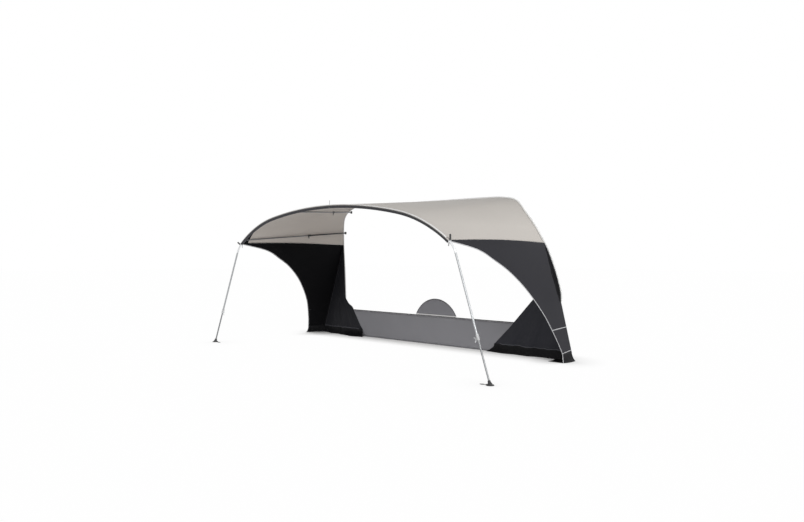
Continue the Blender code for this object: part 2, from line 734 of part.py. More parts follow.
# Hoop tubes, plugged together with reduced ends
def build_hoop(root, looks, sleeve, valance):
    first_joint = SHOULDER_STEPS + 1
    last_joint = HOOP_END - first_joint
    spigot_bore = SPIGOT_RADIUS - TUBE_WALL
    plug = tube_loops(SPIGOT_RADIUS, spigot_bore)
    full = tube_loops(HOOP_TUBE_RADIUS, spigot_bore)
    stations = [(hoop_frame(hoop_index_after(first_joint, -SPIGOT_LENGTH)), plug),
                (hoop_frame(first_joint), plug)]
    for index in hoop_indices(first_joint, last_joint):
        stations.append((hoop_frame(index), full))
    stations.append((hoop_frame(last_joint), plug))
    stations.append((hoop_frame(hoop_index_after(last_joint, SPIGOT_LENGTH)), plug))
    crown = swept("hoop_tube_centre", stations, looks["tube"], root)
    open_tube = tube_loops(HOOP_TUBE_RADIUS, HOOP_BORE)
    near = hoop_index_after(0, CLEARANCE)
    joint = hoop_index_after(first_joint, -CLEARANCE)
    for side in (-1, 1):
        ends = (near, joint) if side < 0 else (HOOP_END - joint, HOOP_END - near)
        swept("hoop_tube_" + side_name(side),
              [(hoop_frame(index), open_tube) for index in hoop_indices(*ends)],
              looks["tube"], root)
    build_centre_spike(root, looks, crown, sleeve, valance)


# Spike through the crown of the hoop, with its nut below, in a notch of the valance
def build_centre_spike(root, looks, crown, sleeve, valance):
    middle = Matrix.Translation(Vector((0, -AWNING_DEPTH, HOOP_HEIGHT)))
    under = -SLEEVE_RADIUS - CLEARANCE
    profile = [(0, CENTRE_SPIKE_HEIGHT), (SPIKE_RADIUS / 3, CENTRE_SPIKE_HEIGHT),
               (SPIKE_RADIUS, CENTRE_SPIKE_HEIGHT * 0.8), (SPIKE_RADIUS, under),
               (CENTRE_KNOB_RADIUS, under), (CENTRE_KNOB_RADIUS, under - CENTRE_KNOB_HEIGHT),
               (0, under - CENTRE_KNOB_HEIGHT)]
    turned("centre_spike", profile, looks["clamp"], root, middle, sides=TUBE_SIDES)
    hole = around(SPIKE_RADIUS)
    reach = 2 * SLEEVE_RADIUS
    for target in (crown, sleeve):
        drill = turned("drill_" + target.name, [(0, reach), (hole, reach), (hole, -reach), (0, -reach)],
                       looks["clamp"], root, middle, sides=TUBE_SIDES)
        combine(target, drill, 'DIFFERENCE')
    wide = CENTRE_KNOB_RADIUS + 2 * PIPING_RADIUS
    notch = block("notch", (-wide, -wide, under - CENTRE_KNOB_HEIGHT - SEAM_GAP),
                  (wide, wide, -SLEEVE_RADIUS / 2), looks["clamp"], root, middle)
    combine(valance, notch, 'DIFFERENCE')


# Frame at the far end of the plug that goes up into the hoop's last straight piece
def hoop_plug_frame(corner, side):
    index = hoop_index_after(0, SPIGOT_LENGTH)
    place = hoop_frame(index if side < 0 else HOOP_END - index).translation
    along = (corner.translation - place).normalized()
    outwards = along.cross(corner.to_3x3().col[0]).normalized()
    return frame_matrix(place, outwards.cross(along), outwards)


# Corner bends with their spike caps
def build_corners(root, looks):
    plug, full = [circle(SPIGOT_RADIUS)], [circle(HOOP_TUBE_RADIUS)]
    for side in (-1, 1):
        name = side_name(side)
        frames = elbow_frames(side)
        stations = [(hoop_plug_frame(frames[0], side), plug), (frames[0], plug)]
        stations += [(frame, full) for frame in frames]
        stations += [(frames[-1], plug), (moved(frames[-1], SPIGOT_LENGTH), plug)]
        elbow = swept("corner_bend_" + name, stations, looks["tube"], root)
        place = moved(frames[0], CORNER_CAP_RADIUS + SLEEVE_RADIUS).translation
        lean = LEFT_CAP_LEAN if side < 0 else 0
        upright = Matrix.Translation(place) @ Matrix.Rotation(-lean, 4, 'Y')
        skew = abs(CORNER_ANGLE - lean)
        seat = HOOP_TUBE_RADIUS / math.cos(skew) + CORNER_CAP_RADIUS * math.tan(skew)
        top = seat + CORNER_SPIKE_HEIGHT
        low = SPIKE_HOLE_DEPTH / 2 - CORNER_CAP_RADIUS
        cap = [(0, top), (CORNER_CAP_RADIUS / 2, top), (CORNER_CAP_RADIUS, top - CORNER_CAP_RADIUS),
               (CORNER_CAP_RADIUS, seat), (SPIKE_RADIUS, seat), (SPIKE_RADIUS, low), (0, low)]
        turned("corner_cap_" + name, cap, looks["black"], root, upright, sides=TUBE_SIDES)
        hole, floor = around(SPIKE_RADIUS), low - CLEARANCE
        drill = turned("corner_drill_" + name, [(0, top), (hole, top), (hole, floor), (0, floor)],
                       looks["black"], root, upright, sides=TUBE_SIDES)
        combine(elbow, drill, 'DIFFERENCE')


# Clamp round the end of an outer tube: its bore steps down to the inner tube.
# The tubes' end is at Z = 0, the outer tube above it, and the screw boss points along +X.
def build_clamp(name, outer, inner, length, wall, surface, parent, frame):
    wide, narrow = around(outer, TURN_SIDES), around(inner, TURN_SIDES)
    radius = wide + wall
    step, edge = -CLEARANCE, wall / 3
    profile = [(radius - edge, length / 2), (radius, length / 2 - edge), (radius, -length / 2 + edge),
               (radius - edge, -length / 2), (narrow, -length / 2), (narrow, step), (wide, step),
               (wide, length / 2)]
    clamp = turned(name, profile, surface, parent, frame, closed=True)
    centre = -length / 4
    sideways = frame @ frame_matrix(Vector((0, 0, centre)), Vector((0, 1, 0)), Vector((0, 0, 1)))
    tip = radius + BOSS_LENGTH
    root_of_boss = narrow + wall / 2
    boss = turned(name + "_boss", [(0, tip), (BOSS_RADIUS, tip), (BOSS_RADIUS, root_of_boss),
                                   (0, root_of_boss)], surface, parent, sideways)
    combine(clamp, boss, 'UNION')
    hole = around(SCREW_RADIUS, TURN_SIDES)
    drill = turned(name + "_drill", [(0, 2 * tip), (hole, 2 * tip), (hole, inner / 2), (0, inner / 2)],
                   surface, parent, sideways)
    combine(clamp, drill, 'DIFFERENCE')
    return sideways, tip


# Wing screw of a clamp, on its own pivot: its axis is Z, its tip points down, its wings lie along Y
def build_knob(name, sideways, tip, inner, span, surface, parent):
    pivot = new_empty("pivot_" + name, parent, sideways)
    low = inner + CLEARANCE
    base = tip + CLEARANCE
    top = base + KNOB_HUB_HEIGHT
    shaft = within(around(SCREW_RADIUS, TURN_SIDES), TURN_SIDES)
    profile = [(0, top), (KNOB_HUB_RADIUS * 0.8, top), (KNOB_HUB_RADIUS, base), (shaft, base),
               (shaft, low), (0, low)]
    knob = turned(name, profile, surface, pivot)
    half, thick = span / 2, KNOB_WING_THICKNESS / 2
    rise = top + KNOB_WING_HEIGHT
    wing = [(-half, rise), (-half * 0.8, rise), (-KNOB_HUB_RADIUS / 2, top - KNOB_HUB_HEIGHT / 3),
            (KNOB_HUB_RADIUS / 2, top - KNOB_HUB_HEIGHT / 3), (half * 0.8, rise), (half, rise),
            (half * 0.6, base + KNOB_HUB_HEIGHT / 4), (-half * 0.6, base + KNOB_HUB_HEIGHT / 4)]
    upright = frame_matrix(Vector((0, 0, 0)), Vector((0, 1, 0)), Vector((0, 0, 1)))
    wings = extruded(name + "_wings", wing[::-1], -thick, thick, surface, pivot, upright)
    combine(knob, wings, 'UNION')


# Telescopic leg with its clamp, foot and peg plate
def build_leg(side, root, looks):
    name = side_name(side)
    frame, length = leg_frame(side)
    leg = new_empty("leg_" + name, root, frame)
    clamp_frame = Matrix.Translation((0, 0, LEG_CLAMP_HEIGHT))
    here = Matrix.Identity(4)
    upper = [(moved(here, LEG_CLAMP_HEIGHT), tube_loops(HOOP_TUBE_RADIUS, HOOP_BORE)),
             (moved(here, length - CLEARANCE), tube_loops(HOOP_TUBE_RADIUS, HOOP_BORE))]
    swept("upper_leg_tube_" + name, upper, looks["tube"], leg)
    loops = tube_loops(LOWER_TUBE_RADIUS, LOWER_TUBE_RADIUS - TUBE_WALL)
    top = LEG_CLAMP_HEIGHT + LOWER_TUBE_INSERTION
    lower = [(moved(here, FOOT_FLOOR + CLEARANCE), loops), (moved(here, top), loops)]
    swept("lower_leg_tube_" + name, lower, looks["inner_tube"], leg)
    sideways, tip = build_clamp("leg_clamp_" + name, HOOP_TUBE_RADIUS, LOWER_TUBE_RADIUS,
                                LEG_CLAMP_LENGTH, LEG_CLAMP_WALL, looks["clamp"], leg, clamp_frame)
    build_knob("leg_clamp_screw_" + name, sideways, tip, LOWER_TUBE_RADIUS, LEG_KNOB_SPAN,
               looks["clamp"], leg)
    build_foot(side, leg, frame, looks)


# Rubber foot, cut off level with the ground, and the peg plate hinged to it
def build_foot(side, leg, frame, looks):
    name = side_name(side)
    bore = around(LOWER_TUBE_RADIUS, TURN_SIDES)
    low = -2 * FOOT_SOLE_RADIUS
    profile = [(FOOT_NECK_RADIUS, FOOT_HEIGHT), (FOOT_NECK_RADIUS * 1.15, FOOT_HEIGHT * 0.6),
               (FOOT_SOLE_RADIUS * 0.62, FOOT_HEIGHT * 0.35), (FOOT_SOLE_RADIUS * 0.62, low),
               (0, low), (0, FOOT_FLOOR), (bore, FOOT_FLOOR), (bore, FOOT_HEIGHT)]
    foot = turned("foot_" + name, profile, looks["black"], leg, closed=True)
    level = frame.to_3x3().to_4x4().inverted()
    sole = turned("sole_" + name, [(0, FOOT_SOLE_HEIGHT), (FOOT_SOLE_RADIUS * 0.9, FOOT_SOLE_HEIGHT),
                                   (FOOT_SOLE_RADIUS, FOOT_SOLE_HEIGHT / 2),
                                   (FOOT_SOLE_RADIUS, low), (0, low)],
                  looks["black"], leg, level)
    combine(foot, sole, 'UNION')
    pin_x = FOOT_SOLE_RADIUS + 2 * PEG_PIN_RADIUS + PEG_EYE_WALL
    eye = around(PEG_PIN_RADIUS) + PEG_EYE_WALL
    pin_z = eye + CLEARANCE
    inner_half = PEG_ARM_WIDTH / 2 + CLEARANCE
    outer_half = inner_half + PEG_LUG_THICKNESS
    lug_end = pin_x + 2 * PEG_PIN_RADIUS
    for near, far, label in ((-outer_half, -inner_half, "a"), (inner_half, outer_half, "b")):
        lug = block("lug_" + label + name, (FOOT_SOLE_RADIUS / 2, near, -pin_z),
                    (lug_end, far, pin_z + 2 * PEG_PIN_RADIUS), looks["black"], leg,
                    level @ Matrix.Rotation(math.pi if side > 0 else 0, 4, 'Z'))
        combine(foot, lug, 'UNION')
    facing = Matrix.Rotation(math.pi if side > 0 else 0, 4, 'Z')
    along_y = frame_matrix(Vector((pin_x, 0, pin_z)), Vector((1, 0, 0)), Vector((0, 0, -1)))
    pin = turned("pin_" + name, [(0, outer_half), (PEG_PIN_RADIUS, outer_half),
                                 (PEG_PIN_RADIUS, -outer_half), (0, -outer_half)],
                 looks["black"], leg, level @ facing @ along_y, sides=TUBE_SIDES)
    combine(foot, pin, 'UNION')
    depth = 3 * FOOT_SOLE_RADIUS
    ground = block("ground_" + name, (-depth, -depth, -depth), (depth, depth, 0), looks["black"], leg,
                   level)
    combine(foot, ground, 'DIFFERENCE')
    build_peg_plate(side, leg, level @ facing, pin_x, pin_z, eye, looks)


def build_peg_plate(side, leg, facing, pin_x, pin_z, eye, looks):
    name = side_name(side)
    pivot = new_empty("pivot_peg_plate_" + name, leg, facing @ Matrix.Translation((pin_x, 0, pin_z)))
    start = eye + PEG_ARM_LENGTH
    end = start + PEG_PLATE_LENGTH
    arm, half = PEG_ARM_WIDTH / 2, PEG_PLATE_WIDTH / 2
    strip, near = arm - 2 * CLEARANCE, PEG_PIN_RADIUS
    middle = (start + end) / 2
    outline = [(near, -strip), (start, -strip), (middle, -half), (end, 0), (middle, half),
               (start, strip), (near, strip)]
    plate = extruded("peg_plate_" + name, outline, -pin_z, -pin_z + PEG_PLATE_THICKNESS,
                     looks["black"], pivot)
    across = frame_matrix(Vector((0, 0, 0)), Vector((1, 0, 0)), Vector((0, 0, -1)))
    bore, reach = around(PEG_PIN_RADIUS), 2 * arm
    barrel = turned("barrel_" + name, [(eye, arm), (eye, -arm), (bore, -arm), (bore, arm)],
                    looks["black"], pivot, across, closed=True, sides=TUBE_SIDES)
    combine(plate, barrel, 'UNION')
    hole = turned("peg_hole_" + name, [(0, reach), (PEG_HOLE_RADIUS, reach),
                                       (PEG_HOLE_RADIUS, -reach - pin_z), (0, -reach - pin_z)],
                  looks["black"], pivot, Matrix.Translation((middle, 0, 0)), sides=TUBE_SIDES)
    combine(plate, hole, 'DIFFERENCE')


# Roof pole from its wall bracket to its saddle on the hoop
def build_pole(side, kind, root, looks):
    name = kind + "_pole_" + side_name(side)
    frame, length, station = pole_frame(side, kind)
    build_bracket(name, frame, root, looks)
    pole = new_empty(name, root, frame)
    rear_bore = POLE_REAR_RADIUS - TUBE_WALL
    neck = EYE_RADIUS + 2 * EAR_THICKNESS
    floor = neck + POLE_REAR_RADIUS
    end = POLE_REAR_LENGTH
    profile = [(rear_bore, end), (POLE_REAR_RADIUS, end), (POLE_REAR_RADIUS, neck + EAR_THICKNESS),
               (EYE_THICKNESS / 2, neck), (0, neck), (0, floor), (rear_bore, floor)]
    rear = turned(name + "_rear_tube", profile, looks["tube"], pole, closed=True, sides=TUBE_SIDES)
    sideways = frame_matrix(Vector((0, 0, 0)), Vector((0, 1, 0)), Vector((0, 0, 1)))
    thick = EYE_THICKNESS / 2
    eye = turned(name + "_eye", [(0, thick), (EYE_RADIUS, thick), (EYE_RADIUS, -thick), (0, -thick)],
                 looks["tube"], pole, sideways)
    combine(rear, eye, 'UNION')
    tongue = block(name + "_tongue", (-thick, -EYE_RADIUS / 2, 0), (thick, EYE_RADIUS / 2, neck + thick),
                   looks["tube"], pole)
    combine(rear, tongue, 'UNION')
    hole = around(PIN_RADIUS, TURN_SIDES)
    drill = turned(name + "_hole", [(0, EYE_RADIUS), (hole, EYE_RADIUS), (hole, -EYE_RADIUS),
                                    (0, -EYE_RADIUS)], looks["tube"], pole, sideways)
    combine(rear, drill, 'DIFFERENCE')
    build_front_tube(name, pole, frame, length, station, looks)
    turn = frame_matrix(Vector((0, 0, end)), Vector((0, -1, 0)), Vector((-1, 0, 0)))
    screw, tip = build_clamp(name + "_clamp", POLE_REAR_RADIUS, POLE_FRONT_RADIUS,
                             POLE_CLAMP_LENGTH, POLE_CLAMP_WALL, looks["black"], pole, turn)
    build_knob(name + "_clamp_screw", screw, tip, POLE_FRONT_RADIUS, POLE_KNOB_SPAN,
               looks["clamp"], pole)


# Front tube of a roof pole and the cradle that bears on the hoop's sleeve from behind and below
def build_front_tube(name, pole, frame, length, station, looks):
    bore = POLE_FRONT_RADIUS - TUBE_WALL
    inner = around(SLEEVE_RADIUS, TURN_SIDES)
    outer = inner + SADDLE_THICKNESS
    end = length - outer - SADDLE_NECK
    here = Matrix.Identity(4)
    loops = tube_loops(POLE_FRONT_RADIUS, bore)
    swept(name + "_front_tube", [(moved(here, POLE_REAR_LENGTH - POLE_INSERTION), loops),
                                 (moved(here, end), loops)], looks["inner_tube"], pole)
    to_pole = frame.inverted() @ hoop_chord_frame(station)
    low, high, steps = math.radians(-76), math.radians(24), 8
    turns = [low + (high - low) * step / steps for step in range(steps + 1)]
    near = inner - SADDLE_THICKNESS / 4
    band = ([(outer * math.cos(turn), outer * math.sin(turn)) for turn in turns]
            + [(near * math.cos(turn), near * math.sin(turn)) for turn in reversed(turns)])
    half = SADDLE_LENGTH / 2
    saddle = swept(name + "_saddle", [(moved(to_pole, -half), [band]), (moved(to_pole, half), [band])],
                   looks["black"], pole)
    plug = within(bore)
    seat = end + CLEARANCE
    profile = [(0, length), (POLE_FRONT_RADIUS, length), (POLE_FRONT_RADIUS, seat), (plug, seat),
               (plug, seat - SADDLE_NECK), (0, seat - SADDLE_NECK)]
    stem = turned(name + "_stem", profile, looks["black"], pole, sides=TUBE_SIDES)
    combine(saddle, stem, 'UNION')
    room = swept(name + "_room", [(moved(to_pole, -2 * half), [circle(inner, TURN_SIDES)]),
                                  (moved(to_pole, 2 * half), [circle(inner, TURN_SIDES)])],
                 looks["black"], pole)
    combine(saddle, room, 'DIFFERENCE')


# Wall bracket: a base plate, two ears and the hinge pin, all cut off flush with the rail's plane
def build_bracket(name, frame, root, looks):
    start = frame.translation
    across = frame.to_3x3().col[0]
    foot_x = start.x + start.y * across.y / across.x
    half, rise = BRACKET_WIDTH / 2, BRACKET_HEIGHT / 2
    base = block(name + "_bracket", (foot_x - half, -BRACKET_THICKNESS, start.z - rise),
                 (foot_x + half, 0, start.z + rise), looks["black"], root)
    level = frame_matrix(start, across, Vector((0, 0, 1)))
    inner = EYE_THICKNESS / 2 + CLEARANCE
    outer = inner + EAR_THICKNESS
    reach = 2 * POLE_PIVOT_REACH
    steps = 8
    ear = [(-reach, EAR_RADIUS), (-reach, -EAR_RADIUS)]
    ear += [(EAR_RADIUS * math.sin(math.pi * step / steps), -EAR_RADIUS * math.cos(math.pi * step / steps))
            for step in range(steps + 1)]
    # The ear's own axes: its first runs away from the wall and its second upwards
    upright = level @ frame_matrix(Vector((0, 0, 0)), Vector((0, 0, 1)), Vector((0, 1, 0)))
    for near, far, label in ((-outer, -inner, "_ear_a"), (inner, outer, "_ear_b")):
        made = extruded(name + label, ear, near, far, looks["black"], root, upright)
        combine(base, made, 'UNION')
    sideways = level @ frame_matrix(Vector((0, 0, 0)), Vector((0, 1, 0)), Vector((0, 0, 1)))
    head = outer + EAR_THICKNESS / 2
    pin = turned(name + "_pin", [(0, head), (PIN_RADIUS, head), (PIN_RADIUS, -head), (0, -head)],
                 looks["black"], root, sideways)
    combine(base, pin, 'UNION')
    deep = 2 * reach
    wall = block(name + "_wall", (start.x - deep, 0, start.z - deep), (start.x + deep, deep, start.z + deep),
                 looks["black"], root)
    combine(base, wall, 'DIFFERENCE')


def main():
    clear_scene()
    looks = {
        "roof": material("roof_fabric", (0.56, 0.53, 0.50), 0.75),
        "hem": material("hem_fabric", (0.07, 0.07, 0.08), 0.7),
        "panel": material("panel_fabric", (0.045, 0.045, 0.055), 0.7),
        "inner": material("inner_fabric", (0.02, 0.02, 0.028), 0.7),
        "mud": material("mud_fabric", (0.01, 0.01, 0.012), 0.5),
        "piping": material("piping", (0.45, 0.45, 0.46), 0.5),
        "bead": material("bead", (0.75, 0.75, 0.75), 0.45),
        "skirt": material("skirt_fabric", (0.17, 0.17, 0.18), 0.65),
        "tube": material("aluminium_tube", (0.60, 0.61, 0.62), 0.3, 1.0),
        "inner_tube": material("steel_tube", (0.35, 0.36, 0.37), 0.35, 1.0),
        "clamp": material("grey_plastic", (0.30, 0.31, 0.32), 0.5),
        "black": material("black_plastic", (0.015, 0.015, 0.016), 0.5),
    }
    root = new_empty("awning", None, Matrix.Translation((0, RAIL_OFFSET, 0)))
    sleeve, valance = build_fabric(root, looks)
    build_skirt(root, looks)
    build_hoop(root, looks, sleeve, valance)
    build_corners(root, looks)
    for side in (-1, 1):
        build_leg(side, root, looks)
        for kind in ("outer", "inner"):
            build_pole(side, kind, root, looks)


main()
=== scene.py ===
# Rail awning: fabric, edging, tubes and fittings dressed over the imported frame.
# Lengths are in metres. Left and right are as seen by someone who looks at the open front.

import json
import math

import bmesh
import bpy
from mathutils import Matrix, Vector, noise


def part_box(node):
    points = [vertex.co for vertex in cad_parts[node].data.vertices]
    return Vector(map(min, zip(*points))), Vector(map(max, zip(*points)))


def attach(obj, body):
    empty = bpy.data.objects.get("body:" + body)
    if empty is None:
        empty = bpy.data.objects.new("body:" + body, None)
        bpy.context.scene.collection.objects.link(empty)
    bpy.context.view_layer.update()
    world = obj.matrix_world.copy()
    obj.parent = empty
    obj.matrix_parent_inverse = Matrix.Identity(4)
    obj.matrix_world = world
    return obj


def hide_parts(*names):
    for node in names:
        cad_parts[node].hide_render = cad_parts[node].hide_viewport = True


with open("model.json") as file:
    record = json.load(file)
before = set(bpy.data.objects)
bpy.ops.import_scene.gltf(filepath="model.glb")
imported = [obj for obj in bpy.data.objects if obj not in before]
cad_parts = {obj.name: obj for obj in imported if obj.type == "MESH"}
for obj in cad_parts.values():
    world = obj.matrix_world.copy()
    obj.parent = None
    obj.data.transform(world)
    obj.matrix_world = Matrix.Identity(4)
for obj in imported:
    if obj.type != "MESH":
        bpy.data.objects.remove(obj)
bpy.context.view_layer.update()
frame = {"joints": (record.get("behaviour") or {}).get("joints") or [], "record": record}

# The shape that every sheet follows
awning = {
    "depth": 2.40,  # from the rail to the middle of the hoop
    "cornerHalfWidth": 2.383,
    "cornerHeight": 1.79,
    "hoopHeight": 2.355,
    "crownRadius": 7.50,
    "crownHalfWidth": 1.45,
    "railHeight": 2.545,
    "railReach": {-1: 2.345, 1: 2.625},
    "rise": 0.030,  # bulge of the roof between hoop and rail
    "fabric": 0.0012,
}
railOutline = {
    -1: [(0.0, 1.0), (0.45, 1.0), (0.80, 0.997), (0.905, 0.977), (0.972, 0.935), (1.0, 0.870),
         (1.0, 0.7034), (0.985, 0.500), (0.974, 0.2688)],
    1: [(0.0, 1.0), (0.45, 1.0), (0.59, 0.995), (0.688, 0.972), (0.753, 0.898), (0.816, 0.8165),
        (0.866, 0.738), (0.915, 0.650), (0.965, 0.520), (0.995, 0.413), (1.0, 0.3485)],
}
sleeve = {"bore": 0.0148, "radius": 0.0172, "wrapRadius": 0.0183, "seamTurn": 30, "wrapTurn": -84}
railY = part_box("rail_bead")[1][1] - 0.006
xWay, yWay, zWay = Vector((1, 0, 0)), Vector((0, 1, 0)), Vector((0, 0, 1))


def deselect():
    if bpy.context.object and bpy.context.object.mode != 'OBJECT':
        bpy.ops.object.mode_set(mode='OBJECT')
    bpy.ops.object.select_all(action='DESELECT')


def makeActive(piece):
    deselect()
    piece.select_set(True)
    bpy.context.view_layer.objects.active = piece
    return piece


def applyModifiers(piece):
    makeActive(piece)
    for modifier in list(piece.modifiers):
        bpy.ops.object.modifier_apply(modifier=modifier.name)
    return piece


def editAll(piece):
    makeActive(piece)
    bpy.ops.object.mode_set(mode='EDIT')
    bpy.ops.mesh.select_all(action='SELECT')


def smoothed(piece, limit=38):
    makeActive(piece)
    bpy.ops.object.shade_smooth_by_angle(angle=math.radians(limit))
    return piece


def thickened(piece, thickness, offset=-1, insideSlot=0):
    wall = piece.modifiers.new("wall", 'SOLIDIFY')
    wall.thickness = thickness
    wall.offset = offset
    wall.material_offset = insideSlot
    return applyModifiers(piece)


def bevelled(piece, width, segments, limit):
    bevel = piece.modifiers.new("edges", 'BEVEL')
    bevel.width = width
    bevel.segments = segments
    bevel.limit_method = 'ANGLE'
    bevel.angle_limit = math.radians(limit)
    return applyModifiers(piece)


def meshPiece(name, vertices, faces, *materials):
    mesh = bpy.data.meshes.new(name)
    mesh.from_pydata(vertices, [], faces)
    for material in materials:
        mesh.materials.append(material)
    piece = bpy.data.objects.new(name, mesh)
    bpy.context.collection.objects.link(piece)
    return piece


# The node that a fabric piece stands for is hidden, and the piece rides on the awning's body
def dressed(piece, node=None):
    if node:
        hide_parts(node)
    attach(piece, "awning")
    return piece


def nameOf(side):
    return "left" if side < 0 else "right"


def shares(steps):
    return [step / steps for step in range(steps + 1)]


def smoothLine(points, steps):
    points = [Vector(point) for point in points]
    padded = [2 * points[0] - points[1]] + points + [2 * points[-1] - points[-2]]
    line = []
    for before, start, end, after in zip(padded, padded[1:], padded[2:], padded[3:]):
        for step in range(steps):
            t = step / steps
            line.append(0.5 * (2 * start + (end - before) * t
                               + (2 * before - 5 * start + 4 * end - after) * t ** 2
                               + (3 * start - before - 3 * end + after) * t ** 3))
    return line + [points[-1]]


def lineLengths(line):
    lengths = [0.0]
    for first, second in zip(line, line[1:]):
        lengths.append(lengths[-1] + (second - first).length)
    return lengths


def columnOf(rows, index):
    return [row[index] for row in rows]


def resample(line, count):
    lengths = lineLengths(line)
    points = []
    index = 0
    for step in range(count + 1):
        target = lengths[-1] * step / count
        while index < len(line) - 2 and lengths[index + 1] < target:
            index += 1
        span = lengths[index + 1] - lengths[index]
        share = (target - lengths[index]) / span if span else 0
        points.append(line[index].lerp(line[index + 1], min(share, 1)))
    return points


def valueAt(line, height):
    for upper, lower in zip(line, line[1:]):
        if upper.y >= height >= lower.y and upper.y > lower.y:
            return upper.x + (lower.x - upper.x) * (upper.y - height) / (upper.y - lower.y)
    return line[-1].x


# Hoop: a flat crown arc between two tighter shoulder arcs
crownAngle = math.asin(awning["crownHalfWidth"] / awning["crownRadius"])
crownDrop = awning["crownRadius"] * (1 - math.cos(crownAngle))
shoulderRun = awning["cornerHalfWidth"] - awning["crownHalfWidth"]
shoulderFall = awning["hoopHeight"] - crownDrop - awning["cornerHeight"]
cornerAngle = 2 * math.atan2(shoulderFall, shoulderRun) - crownAngle
shoulderRadius = shoulderRun / (math.sin(cornerAngle) - math.sin(crownAngle))
crownLength = awning["crownRadius"] * crownAngle
hoopHalf = crownLength + shoulderRadius * (cornerAngle - crownAngle)


def hoopAngle(share):
    run = (2 * share - 1) * hoopHalf
    bend = abs(run) / awning["crownRadius"]
    if abs(run) > crownLength:
        bend = crownAngle + (abs(run) - crownLength) / shoulderRadius
    return math.copysign(bend, run)


def hoopPoint(share):
    angle = hoopAngle(share)
    bend = abs(angle)
    if bend <= crownAngle:
        x = awning["crownRadius"] * math.sin(bend)
        z = awning["hoopHeight"] - awning["crownRadius"] * (1 - math.cos(bend))
    else:
        x = awning["crownHalfWidth"] + shoulderRadius * (math.sin(bend) - math.sin(crownAngle))
        z = (awning["hoopHeight"] - crownDrop
             - shoulderRadius * (math.cos(crownAngle) - math.cos(bend)))
    return Vector((math.copysign(x, angle), railY - awning["depth"], z))


def outwardsAt(share):
    angle = hoopAngle(share)
    return Vector((math.sin(angle), 0, math.cos(angle)))


# A point round the hoop's tube, turned from straight outwards to the rail side
def aroundHoop(share, radius, turn):
    return (hoopPoint(share) + outwardsAt(share) * radius * math.cos(turn)
            + Vector((0, radius * math.sin(turn), 0)))


def railSide(side):
    reach = awning["railReach"][side]
    return smoothLine([(side * reach * across, awning["railHeight"] * up)
                       for across, up in railOutline[side]], 8)


rails = {side: railSide(side) for side in (-1, 1)}
cornerHeight = awning["cornerHeight"]
railSeam = {side: Vector((valueAt(rails[side], cornerHeight), cornerHeight)) for side in (-1, 1)}
upperRail = ([railSeam[-1]] + [point for point in reversed(rails[-1]) if point.y > cornerHeight]
             + [point for point in rails[1][1:] if point.y > cornerHeight] + [railSeam[1]])

layers = {
    "canopyBack": 0.0112,
    "inner": 0.0115,
    "panelBack": 0.0130,
    "skirt": 0.0094,
    "trim": 0.0078,
}


def wrinkle(point, size, amount, seed):
    return amount * noise.noise(Vector((point.x / size, point.y / size, point.z / size + seed)))


# One sheet of fabric from rows of points, with a map in metres and its own two faces
def makeSheet(name, rows, outside, inside, flip=False):
    columns = len(rows[0])
    vertices = [point for row in rows for point in row]
    faces = []
    for row in range(len(rows) - 1):
        for column in range(columns - 1):
            corner = row * columns + column
            quad = (corner, corner + 1, corner + columns + 1, corner + columns)
            faces.append(quad[::-1] if flip else quad)
    piece = meshPiece(name, vertices, faces, outside, inside)
    mesh = piece.data
    across = [lineLengths(row) for row in rows]
    down = [lineLengths(columnOf(rows, column)) for column in range(columns)]
    weave = mesh.uv_layers.new(name="metres")
    hems = mesh.uv_layers.new(name="edges")
    for polygon in mesh.polygons:
        for loop, vertex in zip(polygon.loop_indices, polygon.vertices):
            row, column = divmod(vertex, columns)
            run, fall = across[row][column], down[column][row]
            weave.data[loop].uv = (run, fall)
            hems.data[loop].uv = (min(run, across[row][-1] - run),
                                  min(fall, down[column][-1] - fall))
    mesh.shade_smooth()
    return thickened(piece, awning["fabric"], offset=0, insideSlot=1)


# A section swept through stations: a closed rod, or an open tube if it is given a wall
def sweptPiece(name, stations, material, wall=0):
    count = len(stations[0])
    vertices = [point for station in stations for point in station]
    faces = []
    for low in range(0, len(vertices) - count, count):
        for index in range(count):
            following = (index + 1) % count
            faces.append((low + index, low + following, low + count + following,
                          low + count + index))
    if not wall:
        faces.append(tuple(range(count))[::-1])
        faces.append(tuple(range(len(vertices) - count, len(vertices))))
    piece = meshPiece(name, vertices, faces, material)
    editAll(piece)
    bpy.ops.mesh.normals_make_consistent(inside=False)
    bpy.ops.object.mode_set(mode='OBJECT')
    if wall:
        thickened(piece, wall)
    return smoothed(piece, 40)


# A round or oval rod along a line of points, oval if it has a face direction at each point
def rod(name, points, faceDirections, halfWidth, halfThickness, material, sides=12):
    stations = []
    for index, point in enumerate(points):
        before, after = points[max(index - 1, 0)], points[min(index + 1, len(points) - 1)]
        along = (after - before).normalized()
        across = faceDirections[index]
        across = (across - along * across.dot(along)).normalized()
        thick = along.cross(across)
        stations.append([point + across * halfWidth * math.cos(2 * math.pi * k / sides)
                         + thick * halfThickness * math.sin(2 * math.pi * k / sides)
                         for k in range(sides)])
    return sweptPiece(name, stations, material)


def wired(operation, swapped=False):
    return lambda wire, other=None: wire.maths(operation, other, swapped)


